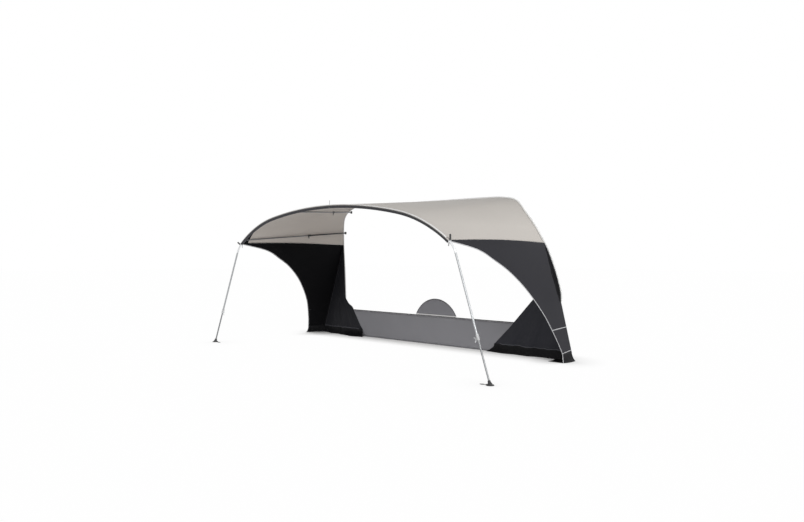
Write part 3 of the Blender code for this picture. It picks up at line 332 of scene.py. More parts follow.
# Shader maths, written as ordinary expressions
class Wire:
    def __init__(self, tree, socket):
        self.tree = tree
        self.socket = socket

    def maths(self, operation, other, swapped=False):
        node = self.tree.nodes.new("ShaderNodeMath")
        node.operation = operation
        pair = (other, self) if swapped else (self, other)
        for slot, value in zip(node.inputs, pair):
            if isinstance(value, Wire):
                self.tree.links.new(value.socket, slot)
            elif value is not None:
                slot.default_value = value
        return Wire(self.tree, node.outputs["Value"])

    __add__, __radd__ = wired('ADD'), wired('ADD', True)
    __sub__, __rsub__ = wired('SUBTRACT'), wired('SUBTRACT', True)
    __mul__, __rmul__ = wired('MULTIPLY'), wired('MULTIPLY', True)
    __truediv__, __pow__ = wired('DIVIDE'), wired('POWER')
    sine, absolute, above = wired('SINE'), wired('ABSOLUTE'), wired('GREATER_THAN')

    def clamped(self):
        return self.maths('MINIMUM', 1.0).maths('MAXIMUM', 0.0)


# One where a ray of these kinds looks, nought elsewhere
def rayShare(tree, *kinds):
    rays = tree.nodes.new("ShaderNodeLightPath")
    total, *others = [Wire(tree, rays.outputs["Is " + kind + " Ray"]) for kind in kinds]
    for other in others:
        total = total + other
    return total.maths('MINIMUM', 1.0)


class Finish:
    def __init__(self, name):
        self.material = bpy.data.materials.new(name)
        self.material.use_nodes = True
        self.tree = self.material.node_tree
        self.shader = self.tree.nodes["Principled BSDF"]

    def node(self, kind, settings=None, output=0, **values):
        node = self.tree.nodes.new(kind)
        for key, value in (settings or {}).items():
            if key == "stops":
                ramp = node.color_ramp
                while len(ramp.elements) < len(value):
                    ramp.elements.new(0.5)
                for element, (place, colour) in zip(ramp.elements, value):
                    element.position = place
                    element.color = (*colour, 1)
            else:
                setattr(node, key, value)
        for key, value in values.items():
            slot = node.inputs[key.replace("_", " ")]
            if isinstance(value, Wire):
                self.tree.links.new(value.socket, slot)
            else:
                slot.default_value = value
        return Wire(self.tree, node.outputs[output])

    def mapped(self, name="metres"):
        return self.node("ShaderNodeUVMap", {"uv_map": name})

    def placed(self):
        return self.node("ShaderNodeTexCoord", output="Object")

    def parts(self, vector):
        node = self.tree.nodes.new("ShaderNodeSeparateXYZ")
        self.tree.links.new(vector.socket, node.inputs[0])
        return [Wire(self.tree, socket) for socket in node.outputs]

    def clouds(self, vector, scale, detail=3.0):
        return self.node("ShaderNodeTexNoise", Vector=vector, Scale=scale, Detail=detail)

    def blend(self, share, first, second):
        node = self.tree.nodes.new("ShaderNodeMix")
        node.data_type = 'RGBA'
        self.tree.links.new(share.socket, node.inputs["Factor"])
        for slot, colour in ((node.inputs[6], first), (node.inputs[7], second)):
            if isinstance(colour, Wire):
                self.tree.links.new(colour.socket, slot)
            else:
                slot.default_value = (*colour, 1)
        return Wire(self.tree, node.outputs[2])

    def bump(self, height, distance, strength=1.0):
        return self.node("ShaderNodeBump", Height=height, Distance=distance, Strength=strength)

    def connect(self, **links):
        for key, value in links.items():
            slot = self.shader.inputs[key.replace("_", " ")]
            if isinstance(value, Wire):
                self.tree.links.new(value.socket, slot)
            else:
                slot.default_value = value
        return self.material


# Rows of lock stitches beside an edge, and the step where the hem's second layer ends
def sewnEdge(made, look, u, v):
    side, end, _ = made.parts(made.mapped("edges"))
    edge = side.maths('MINIMUM', end)
    alongSide = end.above(side)
    run = v * alongSide + u * (1 - alongSide)
    beat = (run / look["stitch"]).maths('FRACT', None)
    rows = None
    for distance in look["stitchRows"]:
        row = 1 - (edge - distance).absolute().above(look["stitchWidth"] / 2)
        rows = row if rows is None else rows + row
    stitches = rows * (1 - beat.above(look["stitchShare"]))
    layer = 1 - edge.above(look["hemWidth"])
    return stitches, layer


# Coated woven fabric: threads both ways, a little soiling, broad changes of tone, and where asked a
# painted shade that darkens it towards the top
def fabricFinish(name, look):
    made = Finish(name)
    cloth = made.mapped()
    u, v, _ = made.parts(cloth)
    turn = 2 * math.pi / look["thread"]
    threads = (u * turn).sine() * 0.5 + (v * turn).sine() * 0.5
    place = made.placed()
    broad = made.clouds(place, look["cloudScale"], 4.0)
    fine = made.clouds(place, look["fleckScale"], 2.0)
    tone = ((broad - 0.5) * look["cloud"] + (fine - 0.5) * look["fleck"]
            + threads * look["threadTone"])
    share = (tone + 0.5).clamped()
    colour = made.blend(share, look["dark"], look["light"])
    # Painted shade: the colour darkens towards the top, standing in for the crown catching less
    # light
    if "dusty" in look:
        top, shadeEnd, tone = look["dusty"]  # heights where the painted shade is fullest and where it has gone, and how dark it makes the colour
        away = (made.parts(place)[2] - top) / (shadeEnd - top)
        dusty = [tuple(part * tone for part in look[key]) for key in ("dark", "light")]
        colour = made.blend(away.clamped(), made.blend(share, *dusty), colour)
    creases = made.clouds(place, look["creaseScale"], 3.0)
    surface = threads * look["threadHeight"] + creases * look["creaseHeight"]
    if look["hemWidth"]:
        stitches, layer = sewnEdge(made, look, u, v)
        cover = stitches * look["stitchCover"] + layer * look["hemShade"]
        colour = made.blend(cover, colour, look["threadColour"])
        surface = surface + layer * look["hemStep"] - stitches * look["stitchDip"]
    rough = look["roughness"] + (fine - 0.5) * look["roughChange"]
    return made.connect(Base_Color=colour, Roughness=rough, Normal=made.bump(surface, 1.0, 1.0),
                        Specular_IOR_Level=look["specular"], Sheen_Weight=look["sheen"],
                        Sheen_Roughness=0.5)


fabricLook = {
    "thread": 0.0016, "cloudScale": 0.9, "cloud": 0.55, "fleckScale": 60.0, "fleck": 0.20,
    "threadTone": 0.05, "creaseScale": 5.0, "threadHeight": 0.00006, "creaseHeight": 0.0022,
    "roughness": 0.62, "specular": 0.35, "sheen": 0.05,
    "hemWidth": 0.025, "stitchRows": (0.012, 0.018), "stitchWidth": 0.0008, "stitch": 0.0045,
    "stitchShare": 0.78, "threadColour": (0.05, 0.05, 0.055), "stitchCover": 0.6, "hemShade": 0.08,
    "hemStep": 0.0004, "stitchDip": 0.0003, "roughChange": 0.12,
}
fabricColours = {
    "roofOutside": ((0.432, 0.404, 0.375), (0.532, 0.504, 0.47)),
    # Paler than the outside: painted light on the roof's underside, standing in for light through
    # the fabric and off the floor
    "roofInside": ((0.57, 0.52, 0.475), (0.68, 0.63, 0.585)),
    "panelOutside": ((0.0122, 0.0120, 0.0158), (0.0180, 0.0178, 0.0222)),
    # Near black, far darker than the outside: painted shade on the side panels' inner faces
    "panelInside": ((0.002, 0.002, 0.0026), (0.004, 0.004, 0.005)),
    "innerPanel": ((0.013, 0.0135, 0.019), (0.024, 0.025, 0.034)),
    # A darker copy of the inner panel's colours: painted shade on the left inner panel
    "innerPanelLeft": ((0.005, 0.0052, 0.0075), (0.011, 0.0114, 0.0155)),
    "mudWall": ((0.0012, 0.0012, 0.0018), (0.0032, 0.0032, 0.0042)),
    "skirt": ((0.245, 0.245, 0.265), (0.33, 0.33, 0.355)),
    "wheelCover": ((0.230, 0.230, 0.252), (0.308, 0.308, 0.336)),
    "hem": ((0.036, 0.036, 0.041), (0.060, 0.060, 0.066)),
    # Paler than the panels round it: partly a painted highlight on the puckered seam
    "seam": ((0.045, 0.046, 0.055), (0.12, 0.122, 0.14)),
    "trim": ((0.008, 0.008, 0.010), (0.016, 0.016, 0.019)),
    "binding": ((0.34, 0.34, 0.35), (0.48, 0.48, 0.49)),
    # The hoop's tape: a sewn tape whose pale colour is partly a painted highlight along the hoop
    "tape": ((0.66, 0.66, 0.66), (0.78, 0.78, 0.78)),
    "whiteTape": ((0.86, 0.86, 0.86), (0.94, 0.94, 0.94)),
}


def fabric(name, **changes):
    dark, light = fabricColours[name]
    return fabricFinish(name, {**fabricLook, **changes, "dark": dark, "light": light})


# Drawn tube: fine lines along it, soft scratches, a faint film of oxide
tubeLook = {
    "lineScale": 420.0, "patchScale": 9.0, "scratchScale": 60.0, "lineShare": 0.45,
    "patchRough": 0.18, "scratchRough": 0.05, "metallic": 0.6,
    "lineHeight": 0.3, "scratchHeight": 0.2, "depth": 0.000012,
}


def tubeFinish(name, dark, light, roughness):
    look = tubeLook
    made = Finish(name)
    place = made.placed()
    lines = made.clouds(place, look["lineScale"], 2.0)
    patches = made.clouds(place, look["patchScale"], 4.0)
    scratches = made.node("ShaderNodeTexWave", {"wave_type": 'BANDS'}, Vector=place,
                          Scale=look["scratchScale"], Distortion=9.0, Detail=4.0)
    share = lines * look["lineShare"] + patches * (1 - look["lineShare"])
    colour = made.blend(share, dark, light)
    rough = roughness + (patches - 0.5) * look["patchRough"] + scratches * look["scratchRough"]
    surface = lines * look["lineHeight"] + scratches * look["scratchHeight"]
    return made.connect(Base_Color=colour, Roughness=rough, Metallic=look["metallic"],
                        Normal=made.bump(surface, look["depth"], 1.0))


# Moulded plastic with a fine grain and scuffed patches that have rubbed paler
plasticLook = {
    "grainScale": 900.0, "scuffScale": 45.0, "rubbed": (0.52, 0.72), "rubbedShare": 0.6,
    "grainShare": 0.3, "grainRough": 0.15, "depth": 0.00012,
}


def plasticFinish(name, dark, light, roughness):
    look = plasticLook
    made = Finish(name)
    place = made.placed()
    grain = made.clouds(place, look["grainScale"], 2.0)
    scuffs = made.clouds(place, look["scuffScale"], 5.0)
    start, end = look["rubbed"]
    rubbed = made.node("ShaderNodeValToRGB", {"stops": [(start, (0, 0, 0)), (end, (1, 1, 1))]},
                       Fac=scuffs)
    share = made.parts(rubbed)[0] * look["rubbedShare"] + grain * look["grainShare"]
    colour = made.blend(share, dark, light)
    rough = roughness + (grain - 0.5) * look["grainRough"]
    return made.connect(Base_Color=colour, Roughness=rough,
                        Normal=made.bump(grain, look["depth"], 1.0))


print("finishes")
finishes = {
    # The roof's outside is painted darker towards its crown, a painted shade
    "roofOutside": fabric("roofOutside", dusty=(2.47, 2.03, 0.77), threadColour=(0.30, 0.28, 0.26)),
    # The underside's raised colour is painted light through the fabric
    "roofInside": fabric("roofInside", threadColour=(0.34, 0.31, 0.28)),
    "panelOutside": fabric("panelOutside", creaseScale=3.5, specular=0.22, sheen=0.0),
    # Darker than the outside of the same fabric: painted shade on the inner faces
    "panelInside": fabric("panelInside", creaseScale=3.5, specular=0.1, sheen=0.0, roughness=0.8),
    "innerPanelRight": fabric("innerPanel", creaseScale=3.0, creaseHeight=0.004, specular=0.25),
    # Darker copy of the inner panel: painted shade on the left side
    "innerPanelLeft": fabric("innerPanelLeft", creaseScale=3.0, creaseHeight=0.004, specular=0.2),
    "mudWall": fabric("mudWall", creaseScale=9.0, creaseHeight=0.006, specular=0.15, sheen=0.0),
    "skirt": fabric("skirt", creaseScale=4.0),
    "wheelCover": fabric("wheelCover", creaseScale=4.0),
    "trim": fabric("trim", creaseScale=20.0, creaseHeight=0.0006, specular=0.2, hemWidth=0),
    "hem": fabric("hem", thread=0.0022, creaseScale=14.0, creaseHeight=0.0012, hemWidth=0),
    "seam": fabric("seam", creaseScale=60.0, creaseHeight=0.003, hemWidth=0),
    "binding": fabric("binding", thread=0.0012, creaseScale=30.0, creaseHeight=0.0006, hemWidth=0),
    "tape": fabric("tape", thread=0.0012, cloud=0.25, creaseScale=30.0, creaseHeight=0.0004,
                   hemWidth=0.004, stitchRows=(0.002,), threadColour=(0.5, 0.5, 0.5)),
    "whiteTape": fabric("whiteTape", thread=0.0012, cloud=0.25, creaseHeight=0.0004, hemWidth=0),
    "bead": plasticFinish("railBead", (0.72, 0.72, 0.71), (0.86, 0.86, 0.85), 0.45),
    "tube": tubeFinish("drawnTube", (0.36, 0.37, 0.38), (0.43, 0.44, 0.45), 0.42),
    # Much paler and glossier than the straight tubes: a painted highlight on the corner bends
    "bend": tubeFinish("bentTube", (0.66, 0.67, 0.68), (0.82, 0.83, 0.84), 0.30),
    "innerTube": tubeFinish("innerTube", (0.20, 0.205, 0.21), (0.26, 0.265, 0.27), 0.42),
    "poleTube": tubeFinish("darkTube", (0.035, 0.035, 0.038), (0.065, 0.065, 0.068), 0.42),
    "poleFront": tubeFinish("poleFrontTube", (0.14, 0.142, 0.148), (0.21, 0.213, 0.22), 0.38),
    "greyPlastic": plasticFinish("greyPlastic", (0.46, 0.465, 0.47), (0.58, 0.585, 0.59), 0.45),
    "darkPlastic": plasticFinish("darkPlastic", (0.075, 0.077, 0.08), (0.14, 0.143, 0.148), 0.45),
    "paleMetal": plasticFinish("paleMetal", (0.66, 0.67, 0.68), (0.80, 0.81, 0.82), 0.40),
    "blackPlastic": plasticFinish("blackPlastic", (0.012, 0.012, 0.013),
                                  (0.035, 0.035, 0.037), 0.5),
}


# Roof of the awning: one sheet that also wraps over the hoop, down to the front of it
roofLook = {
    "along": 150, "deep": 44, "wrap": 10, "wrinkle": 0.0035, "wrinkleSize": 0.55, "seed": 3.0,
    "tension": 0.004, "ridges": 9, "ridgeSlant": 2.0, "cornerHold": 0.02,
    "flatFrom": 0.24,  # how far from a corner, as a share of the hoop, the bulge has died away
    "tapeRadius": 0.0197, "tapeTurns": (-58, -6), "tapeInset": 0.012,
    "tapeAcross": 6, "patchReach": 0.1425, "patchDepth": 0.13, "patchTip": 0.004,
    "patchGap": 0.0018, "patchAcross": 28, "patchDeep": 6,
}
roofRail = resample(upperRail, roofLook["along"])


def buildRoof():
    columns = shares(roofLook["along"])
    turns = [math.radians(sleeve["wrapTurn"] + (sleeve["seamTurn"] - sleeve["wrapTurn"]) * part)
             for part in shares(roofLook["wrap"])[:-1]]
    rows = [[aroundHoop(share, sleeve["wrapRadius"], turn) for share in columns] for turn in turns]
    rows += [[roofPoint(share, part) for share in columns] for part in shares(roofLook["deep"])]
    roof = makeSheet("roofSheet", rows, finishes["roofOutside"], finishes["roofInside"])
    dressed(roof, "canopy_roof")
    return rows


def roofPoint(along, share):
    values = roofLook
    front = aroundHoop(along, sleeve["wrapRadius"], math.radians(sleeve["seamTurn"]))
    column = min(int(along * values["along"]), values["along"] - 1)
    railPlace = roofRail[column].lerp(roofRail[column + 1], along * values["along"] - column)
    rear = Vector((railPlace.x, railY - layers["canopyBack"], railPlace.y))
    place = front.lerp(rear, share)
    hold = math.sin(math.pi * share)
    edge = min(along, 1 - along)
    bulge = awning["rise"] * hold * max(0.0, 1 - edge / values["flatFrom"])
    phase = along * values["ridges"] + share * values["ridgeSlant"]
    ridge = math.sin(2 * math.pi * phase) * values["tension"] * hold
    loose = ridge * max(0.0, 1 - 4 * edge) * (1 - share) ** 2
    loose += wrinkle(place, values["wrinkleSize"], values["wrinkle"], values["seed"]) * hold
    return place + outwardsAt(along) * (bulge + loose * min(1, edge / values["cornerHold"]))


# Pale tape sewn along the front of the hoop, its pale colour partly a painted highlight along the
# hoop, and a dark patch under each corner of the roof
def buildTapeAndPatches():
    values = roofLook
    inset = values["tapeInset"]
    first, last = [math.radians(turn) for turn in values["tapeTurns"]]
    rows = [[aroundHoop(inset + (1 - 2 * inset) * share, values["tapeRadius"],
                        first + (last - first) * part) for share in shares(values["along"])]
            for part in shares(values["tapeAcross"])]
    tape = makeSheet("hoopTape", rows, finishes["tape"], finishes["tape"])
    dressed(tape)
    for side in (-1, 1):
        rows = []
        for part in shares(values["patchDeep"]):
            row = []
            for reach in shares(values["patchAcross"]):
                edge = values["patchReach"] * reach
                share = edge if side < 0 else 1 - edge
                depth = values["patchDepth"] * (1 - reach) + values["patchTip"]
                place = roofPoint(share, depth / awning["depth"] * part)
                row.append(place - outwardsAt(share) * values["patchGap"])
            rows.append(row)
        patch = makeSheet("cornerPatch" + nameOf(side).title(), rows, finishes["panelInside"],
                          finishes["panelInside"], flip=side > 0)
        dressed(patch)


print("roof")
roofRows = buildRoof()
buildTapeAndPatches()


# Side panels hang from the roof's seam and end in a hollow front edge
sidePanel = {
    "edge": [(1.0, 1.0), (0.755, 0.936), (0.615, 0.850), (0.505, 0.769), (0.398, 0.658),
             (0.315, 0.543), (0.228, 0.386), (0.172, 0.229), (0.138, 0.106), (0.120, 0.0)],
    "flare": {-1: 0.75, 1: 0.49},
    "foldFoot": {-1: 2.96, 1: 2.84},
    "mudHeight": 0.125,
    "down": 56,
    "across": 40,
    "seamGap": 0.0009,
    "tip": 0.42,  # where the front edge starts, as a share of the seam's first step
    "bulgeDown": 0.3,  # how far down the seam's bulge dies away
    "wrinkle": 0.004, "wrinkleSize": 0.45, "seed": 7.0, "edgeRows": 6,
}


def rearEdge(side, height):
    share = 1 - height / cornerHeight
    if side < 0:
        return -railSeam[-1].x + (sidePanel["foldFoot"][-1] + railSeam[-1].x) * share
    foot = rails[1][-1]
    if height >= foot.y:
        return valueAt(rails[1], height)
    return foot.x + (sidePanel["foldFoot"][1] - foot.x) * (1 - height / foot.y)


def panelEdge():
    line = smoothLine([(-awning["depth"] * depth, cornerHeight * up)
                       for depth, up in sidePanel["edge"]], 12)
    kept = [point for point in line if point.y > sidePanel["mudHeight"]]
    kept.append(Vector((valueAt(line, sidePanel["mudHeight"]), sidePanel["mudHeight"])))
    return resample(kept, sidePanel["down"])


def panelRows(side):
    roofEdge = columnOf(roofRows[roofLook["wrap"]:], 0 if side < 0 else -1)
    seamLine = [point - Vector((0, 0, sidePanel["seamGap"])) for point in roofEdge]
    tip = seamLine[0].lerp(seamLine[1], sidePanel["tip"])
    back = Vector((seamLine[-1].x, railY - layers["panelBack"], seamLine[-1].z))
    seamLine = [tip] + seamLine[1:-1] + [back]
    seam = resample(seamLine, sidePanel["across"])
    rows = [seam]
    edge = panelEdge()
    spread = [(point.y - seam[0].y) / (seam[-1].y - seam[0].y) for point in seam]
    bulge = [point - seam[0].lerp(seam[-1], part) for point, part in zip(seam, spread)]
    for index, place in enumerate(edge[1:], 1):
        share = 1 - place.y / cornerHeight
        front = Vector((side * (awning["cornerHalfWidth"] + sidePanel["flare"][side] * share),
                        railY + place.x, place.y))
        rear = Vector((side * rearEdge(side, place.y), railY - layers["panelBack"], place.y))
        fade = max(0.0, 1 - index / (sidePanel["bulgeDown"] * sidePanel["down"])) ** 2
        held = min(1, index / sidePanel["edgeRows"]) * min(
            1, (len(edge) - index) / sidePanel["edgeRows"])
        row = []
        for part, swell in zip(spread, bulge):
            point = front.lerp(rear, part) + swell * fade
            point.x += side * math.sin(math.pi * part) * held * wrinkle(
                point, sidePanel["wrinkleSize"], sidePanel["wrinkle"], sidePanel["seed"] + side)
            row.append(point)
        rows.append(row)
    return rows


def buildSidePanel(side):
    rows = panelRows(side)
    name = nameOf(side)
    panel = makeSheet("sidePanel" + name.title(), rows, finishes["panelOutside"],
                      finishes["panelInside"], flip=side > 0)
    dressed(panel, "side_panel_" + name)
    return rows


# Edge binding: a folded tape along the hollow edge, and two tapes across the foot of the panel
binding = {
    "halfWidth": 0.0075, "halfThickness": 0.0032, "lap": 0.0040, "gap": 0.0003,
    "crossHeight": 0.485, "crossSlope": 0.02, "crossHalfWidth": 0.0065, "lowerRise": 0.014,
    "footProud": 0.0042, "footLift": 0.0030, "footHalfWidth": 0.0070,
}


def buildBindings(side, rows):
    name = nameOf(side)
    inwards = [row[1] - row[0] for row in rows[1:]]
    centres = [row[0] - direction.normalized() * binding["lap"]
               for row, direction in zip(rows[1:], inwards)]
    tape = rod("edgeBinding" + name.title(), centres, inwards, binding["halfWidth"],
               binding["halfThickness"], finishes["binding"])
    dressed(tape, "side_piping_" + name)
    crossThickness = binding["halfThickness"] * 0.5
    proud = crossThickness + awning["fabric"] / 2 + binding["gap"]
    columns = len(rows[0])
    for label, height in (("Upper", binding["crossHeight"]),
                          ("Lower", sidePanel["mudHeight"] + binding["lowerRise"])):
        line = [pointAtHeight(columnOf(rows, column),
                              height + binding["crossSlope"] * column / (columns - 1))
                for column in range(columns)]
        outwards = []
        for index in range(columns):
            before, after = line[max(index - 1, 0)], line[min(index + 1, columns - 1)]
            upwards = (rows[-2][index] - rows[-1][index]).normalized()
            facing = (after - before).cross(upwards).normalized()
            outwards.append(facing if facing.x * side > 0 else -facing)
        line = [point + facing * proud for point, facing in zip(line, outwards)]
        cross = rod("crossBinding" + label + name.title(), line, [zWay] * len(line),
                    binding["crossHalfWidth"], crossThickness, finishes["binding"])
        dressed(cross)


# Painted shadow: a dark strip on the outer face of a side panel, down its rear edge, standing in
# for the shade where the panel turns in to the rail
railShadowStrip = {
    "widths": [(1.775, 0.004), (1.67, 0.055), (1.44, 0.095), (1.29, 0.118), (1.06, 0.100),
               (0.905, 0.045), (0.862, 0.003)],  # height and width there
    "down": 40, "across": 4, "inset": 0.0015, "proud": 0.0022,
}


def buildRailShadowStrip(side, rows):
    widths = railShadowStrip["widths"]
    strip = []
    for part in shares(railShadowStrip["down"]):
        height = widths[0][0] + (widths[-1][0] - widths[0][0]) * part
        width = widths[-1][1]
        for (upper, wide), (lower, narrow) in zip(widths, widths[1:]):
            if upper >= height > lower:
                share = (upper - height) / (upper - lower)
                width = wide + (narrow - wide) * (share * share * (3 - 2 * share))
        line = [pointAtHeight(columnOf(rows, column), height) for column in range(len(rows[0]))]
        strip.append([placeAlong(line[::-1], width * across + railShadowStrip["inset"])
                      + xWay * side * railShadowStrip["proud"]
                      for across in shares(railShadowStrip["across"])])
    name = nameOf(side).title()
    sheet = makeSheet("railShadowStrip" + name, strip, finishes["panelInside"],
                      finishes["panelInside"], flip=side < 0)
    dressed(sheet)


def placeAlong(line, distance):
    for start, end in zip(line, line[1:]):
        step = (end - start).length
        if distance <= step:
            return start.lerp(end, distance / step)
        distance -= step
    return line[-1].copy()


def pointAtHeight(line, height):
    for upper, lower in zip(line, line[1:]):
        if upper.z >= height >= lower.z and upper.z > lower.z:
            return upper.lerp(lower, (upper.z - height) / (upper.z - lower.z))
    return line[-1].copy()


print("side panels")
panels = {side: buildSidePanel(side) for side in (-1, 1)}
for side, rows in panels.items():
    buildBindings(side, rows)
    buildRailShadowStrip(side, rows)


# Inner panels lie against the rail's plane and hang in upright folds
innerPanel = {
    "edge": {-1: [(0.998, 1.0), (0.975, 0.41), (0.930, 0.345), (0.880, 0.312), (0.872, 0.28),
                  (0.790, 0.115), (0.715, 0.0)],
             1: [(0.884, 1.0), (0.930, 0.87), (0.956, 0.77), (0.945, 0.715), (0.800, 0.485),
                 (0.640, 0.235), (0.475, 0.0)]},
    "foldShare": 0.03, "folds": 3, "ripples": 7, "rippleShare": 0.22, "rippleLean": 2.5,
    "foldSpread": 12 / 11,  # the last twelfth, beside the rear edge, lies flat
    "topGap": 0.0027, "rearGap": 0.004, "down": 48, "across": 72,
}


def innerEdgeLine(side):
    reach = awning["railReach"][side]
    return [Vector((reach * across, cornerHeight * up)) for across, up in innerPanel["edge"][side]]


def innerRows(side):
    values = innerPanel
    top = cornerHeight - values["topGap"]
    line = innerEdgeLine(side)
    rows = []
    for share in shares(values["down"]):
        height = top + (sidePanel["mudHeight"] - top) * share
        inner = valueAt(line, height)
        outer = rearEdge(side, height) + values["rearGap"]
        points = []
        for across in shares(values["across"]):
            spread = min(across * values["foldSpread"], 1)
            hold = math.sin(math.pi * spread)
            wave = math.sin(values["folds"] * math.pi * spread) ** 2 * hold
            phase = values["ripples"] * math.pi * spread + values["rippleLean"] * share
            ripple = math.sin(phase) ** 2 * hold
            depth = (values["foldShare"] * (outer - inner) * share ** 2
                     * (wave + values["rippleShare"] * ripple))
            x = side * (inner + (outer - inner) * across)
            points.append(Vector((x, railY - layers["inner"] - depth, height)))
        rows.append(points)
    return rows


def buildInnerPanel(side):
    rows = innerRows(side)
    name = nameOf(side)
    # The left panel takes the darker copy, a painted shade
    finish = finishes["innerPanel" + name.title()]
    panel = makeSheet("innerPanel" + name.title(), rows, finish, finish, flip=side > 0)
    dressed(panel, "inner_panel_" + name)
    return rows


print("inner panels")
inners = {side: buildInnerPanel(side) for side in (-1, 1)}


# Mud walls: soft black strips that run round each corner and spread over the ground
mudWall = {
    "sideFlare": {-1: 0.062, 1: 0.015},
    "cornerFlare": {-1: 0.010, 1: 0.060},
    "innerFlare": {-1: 0.150, 1: 0.060},
    "down": 9,
    "crumple": 0.006, "crumpleSize": 0.05, "seed": 11.0, "endSteps": 5,
    "lap": 0.012,
    "lapGap": 0.0016,
    "rearBulge": {-1: 0.0, 1: 0.022},
    "flapReach": 0.26, "flapSpread": 0.25, "flapHeight": 0.0030, "flapUneven": 9,
    "flapBack": 0.045, "flapInset": 0.012, "flapAbove": 0.0004, "flapDeep": 8,
    "seamRise": 0.016, "seamHalfWidth": 0.0055, "seamHalfThickness": 0.0016, "seamProud": 0.0030,
    "seamStart": 6, "seamSteps": 90,
    "puckers": ((0.010, 14), (0.004, 50)),  # height, and how close together
}


def buildMudWall(side):
    name = nameOf(side)
    panelFoot = panels[side][-1]
    innerFoot = inners[side][-1][::-1]
    path = panelFoot[:-1] + innerFoot
    flares = []
    sideCount, innerCount = len(panelFoot) - 1, len(innerFoot)
    for index in range(sideCount):
        share = index / sideCount
        flare = mudWall["sideFlare"][side] * (1 - share) + mudWall["cornerFlare"][side] * share
        flare += mudWall["rearBulge"][side] * math.sin(math.pi * share)
        flares.append(Vector((side * flare, 0, 0)))
    slant = innerEdgeLine(side)
    toe = valueAt(slant, sidePanel["mudHeight"]) - slant[-1].x
    for index in range(innerCount):
        share = index / (innerCount - 1)
        wave = 1 - math.cos(4 * math.pi * share) / 4
        sideways = mudWall["cornerFlare"][side] * (1 - share) - toe * share ** 3
        flares.append(Vector((side * sideways, -mudWall["innerFlare"][side] * share * wave, 0)))
    rows = []
    fabricHalf = awning["fabric"] / 2
    # The strip is sewn to the inner face of the panels, a lap above their lower edge
    for lap in (mudWall["lap"], mudWall["lap"] / 2):
        points = []
        for index, point in enumerate(path):
            turned = min(1, max(0, (index - sideCount + 2) / 4))
            inwards = Vector((-side * (1 - turned), -turned, 0)).normalized()
            points.append(Vector((point.x, point.y, sidePanel["mudHeight"] + lap))
                          + inwards * mudWall["lapGap"])
        rows.append(points)
    for share in shares(mudWall["down"]):
        height = (sidePanel["mudHeight"] - sidePanel["seamGap"]) * (1 - share) + fabricHalf * share
        points = []
        for index, (point, flare) in enumerate(zip(path, flares)):
            place = Vector((point.x, point.y, height)) + flare * share ** 2
            ends = min(1, index / mudWall["endSteps"],
                       (len(path) - 1 - index) / mudWall["endSteps"])
            crumple = wrinkle(place, mudWall["crumpleSize"], mudWall["crumple"],
                              mudWall["seed"]) * math.sin(math.pi * share) * ends
            away = flare.normalized() if flare.length > 0.001 else Vector((side, 0, 0))
            points.append(place + away * (crumple + mudWall["crumple"] * 0.5 * share * ends))
        rows.append(points)
    strip = makeSheet("mudWall" + name.title(), rows, finishes["mudWall"], finishes["mudWall"],
                      flip=side > 0)
    dressed(strip, "mud_wall_" + name)
    return rows


# The loose end of a strip lies on the ground inside the panel's foot
def buildGroundFlap(side, rows):
    foot = [point for point in rows[-1][:len(panels[side][-1])]
            if point.y < railY - mudWall["flapBack"]]
    sheet = []
    under = awning["fabric"] / 2 + mudWall["flapAbove"]
    for share in shares(mudWall["flapDeep"]):
        row = []
        for point, along in zip(foot, shares(len(foot) - 1)):
            inwards = mudWall["flapReach"] * (1 + mudWall["flapSpread"] * along) * share
            place = Vector((point.x - side * (mudWall["flapInset"] + inwards), point.y, 0))
            uneven = 1 + noise.noise(place * mudWall["flapUneven"])
            lift = mudWall["flapHeight"] * uneven * math.sin(math.pi * share)
            row.append(place + Vector((0, 0, under + max(lift, 0))))
        sheet.append(row)
    flap = makeSheet("groundFlap" + nameOf(side).title(), sheet, finishes["mudWall"],
                     finishes["mudWall"], flip=side > 0)
    dressed(flap)


# The edge binding carries on down the strip's front edge to the ground
def buildFootBinding(side, rows):
    line = [row[0] - yWay * binding["footProud"] for row in rows[2:]]
    line[-1].z += binding["footLift"]
    tape = rod("footBinding" + nameOf(side).title(), line, [yWay] * len(line),
               binding["footHalfWidth"], binding["halfThickness"], finishes["binding"])
    dressed(tape)


# Puckered seam where the strip is sewn to the inner panel; its paler colour is partly a painted
# highlight on the puckers
def buildPuckeredSeam(side):
    line = []
    middle = sidePanel["mudHeight"] + mudWall["seamRise"]
    for point in resample(inners[side][-1][mudWall["seamStart"]:], mudWall["seamSteps"]):
        pucker = sum(height * noise.noise(point * size) for height, size in mudWall["puckers"])
        line.append(Vector((point.x, point.y - mudWall["seamProud"], middle + pucker)))
    seam = rod("puckeredSeam" + nameOf(side).title(), line, [zWay] * len(line),
               mudWall["seamHalfWidth"], mudWall["seamHalfThickness"], finishes["seam"])
    dressed(seam)


print("mud walls")
mudRows = {side: buildMudWall(side) for side in (-1, 1)}
buildGroundFlap(1, mudRows[1])
for side, rows in mudRows.items():
    buildFootBinding(side, rows)
    buildPuckeredSeam(side)


# Front hem: a dark sleeve round the hoop's tube, its valance, and a strap tail at each end
hem = {
    "along": 150, "sides": 20, "drop": 0.022, "rows": 4, "wave": 0.0012, "waves": 60,
    "tailLength": 0.058, "tailSwing": 0.010, "tailHalfWidth": 0.009, "tailHalfThickness": 0.0011,
}


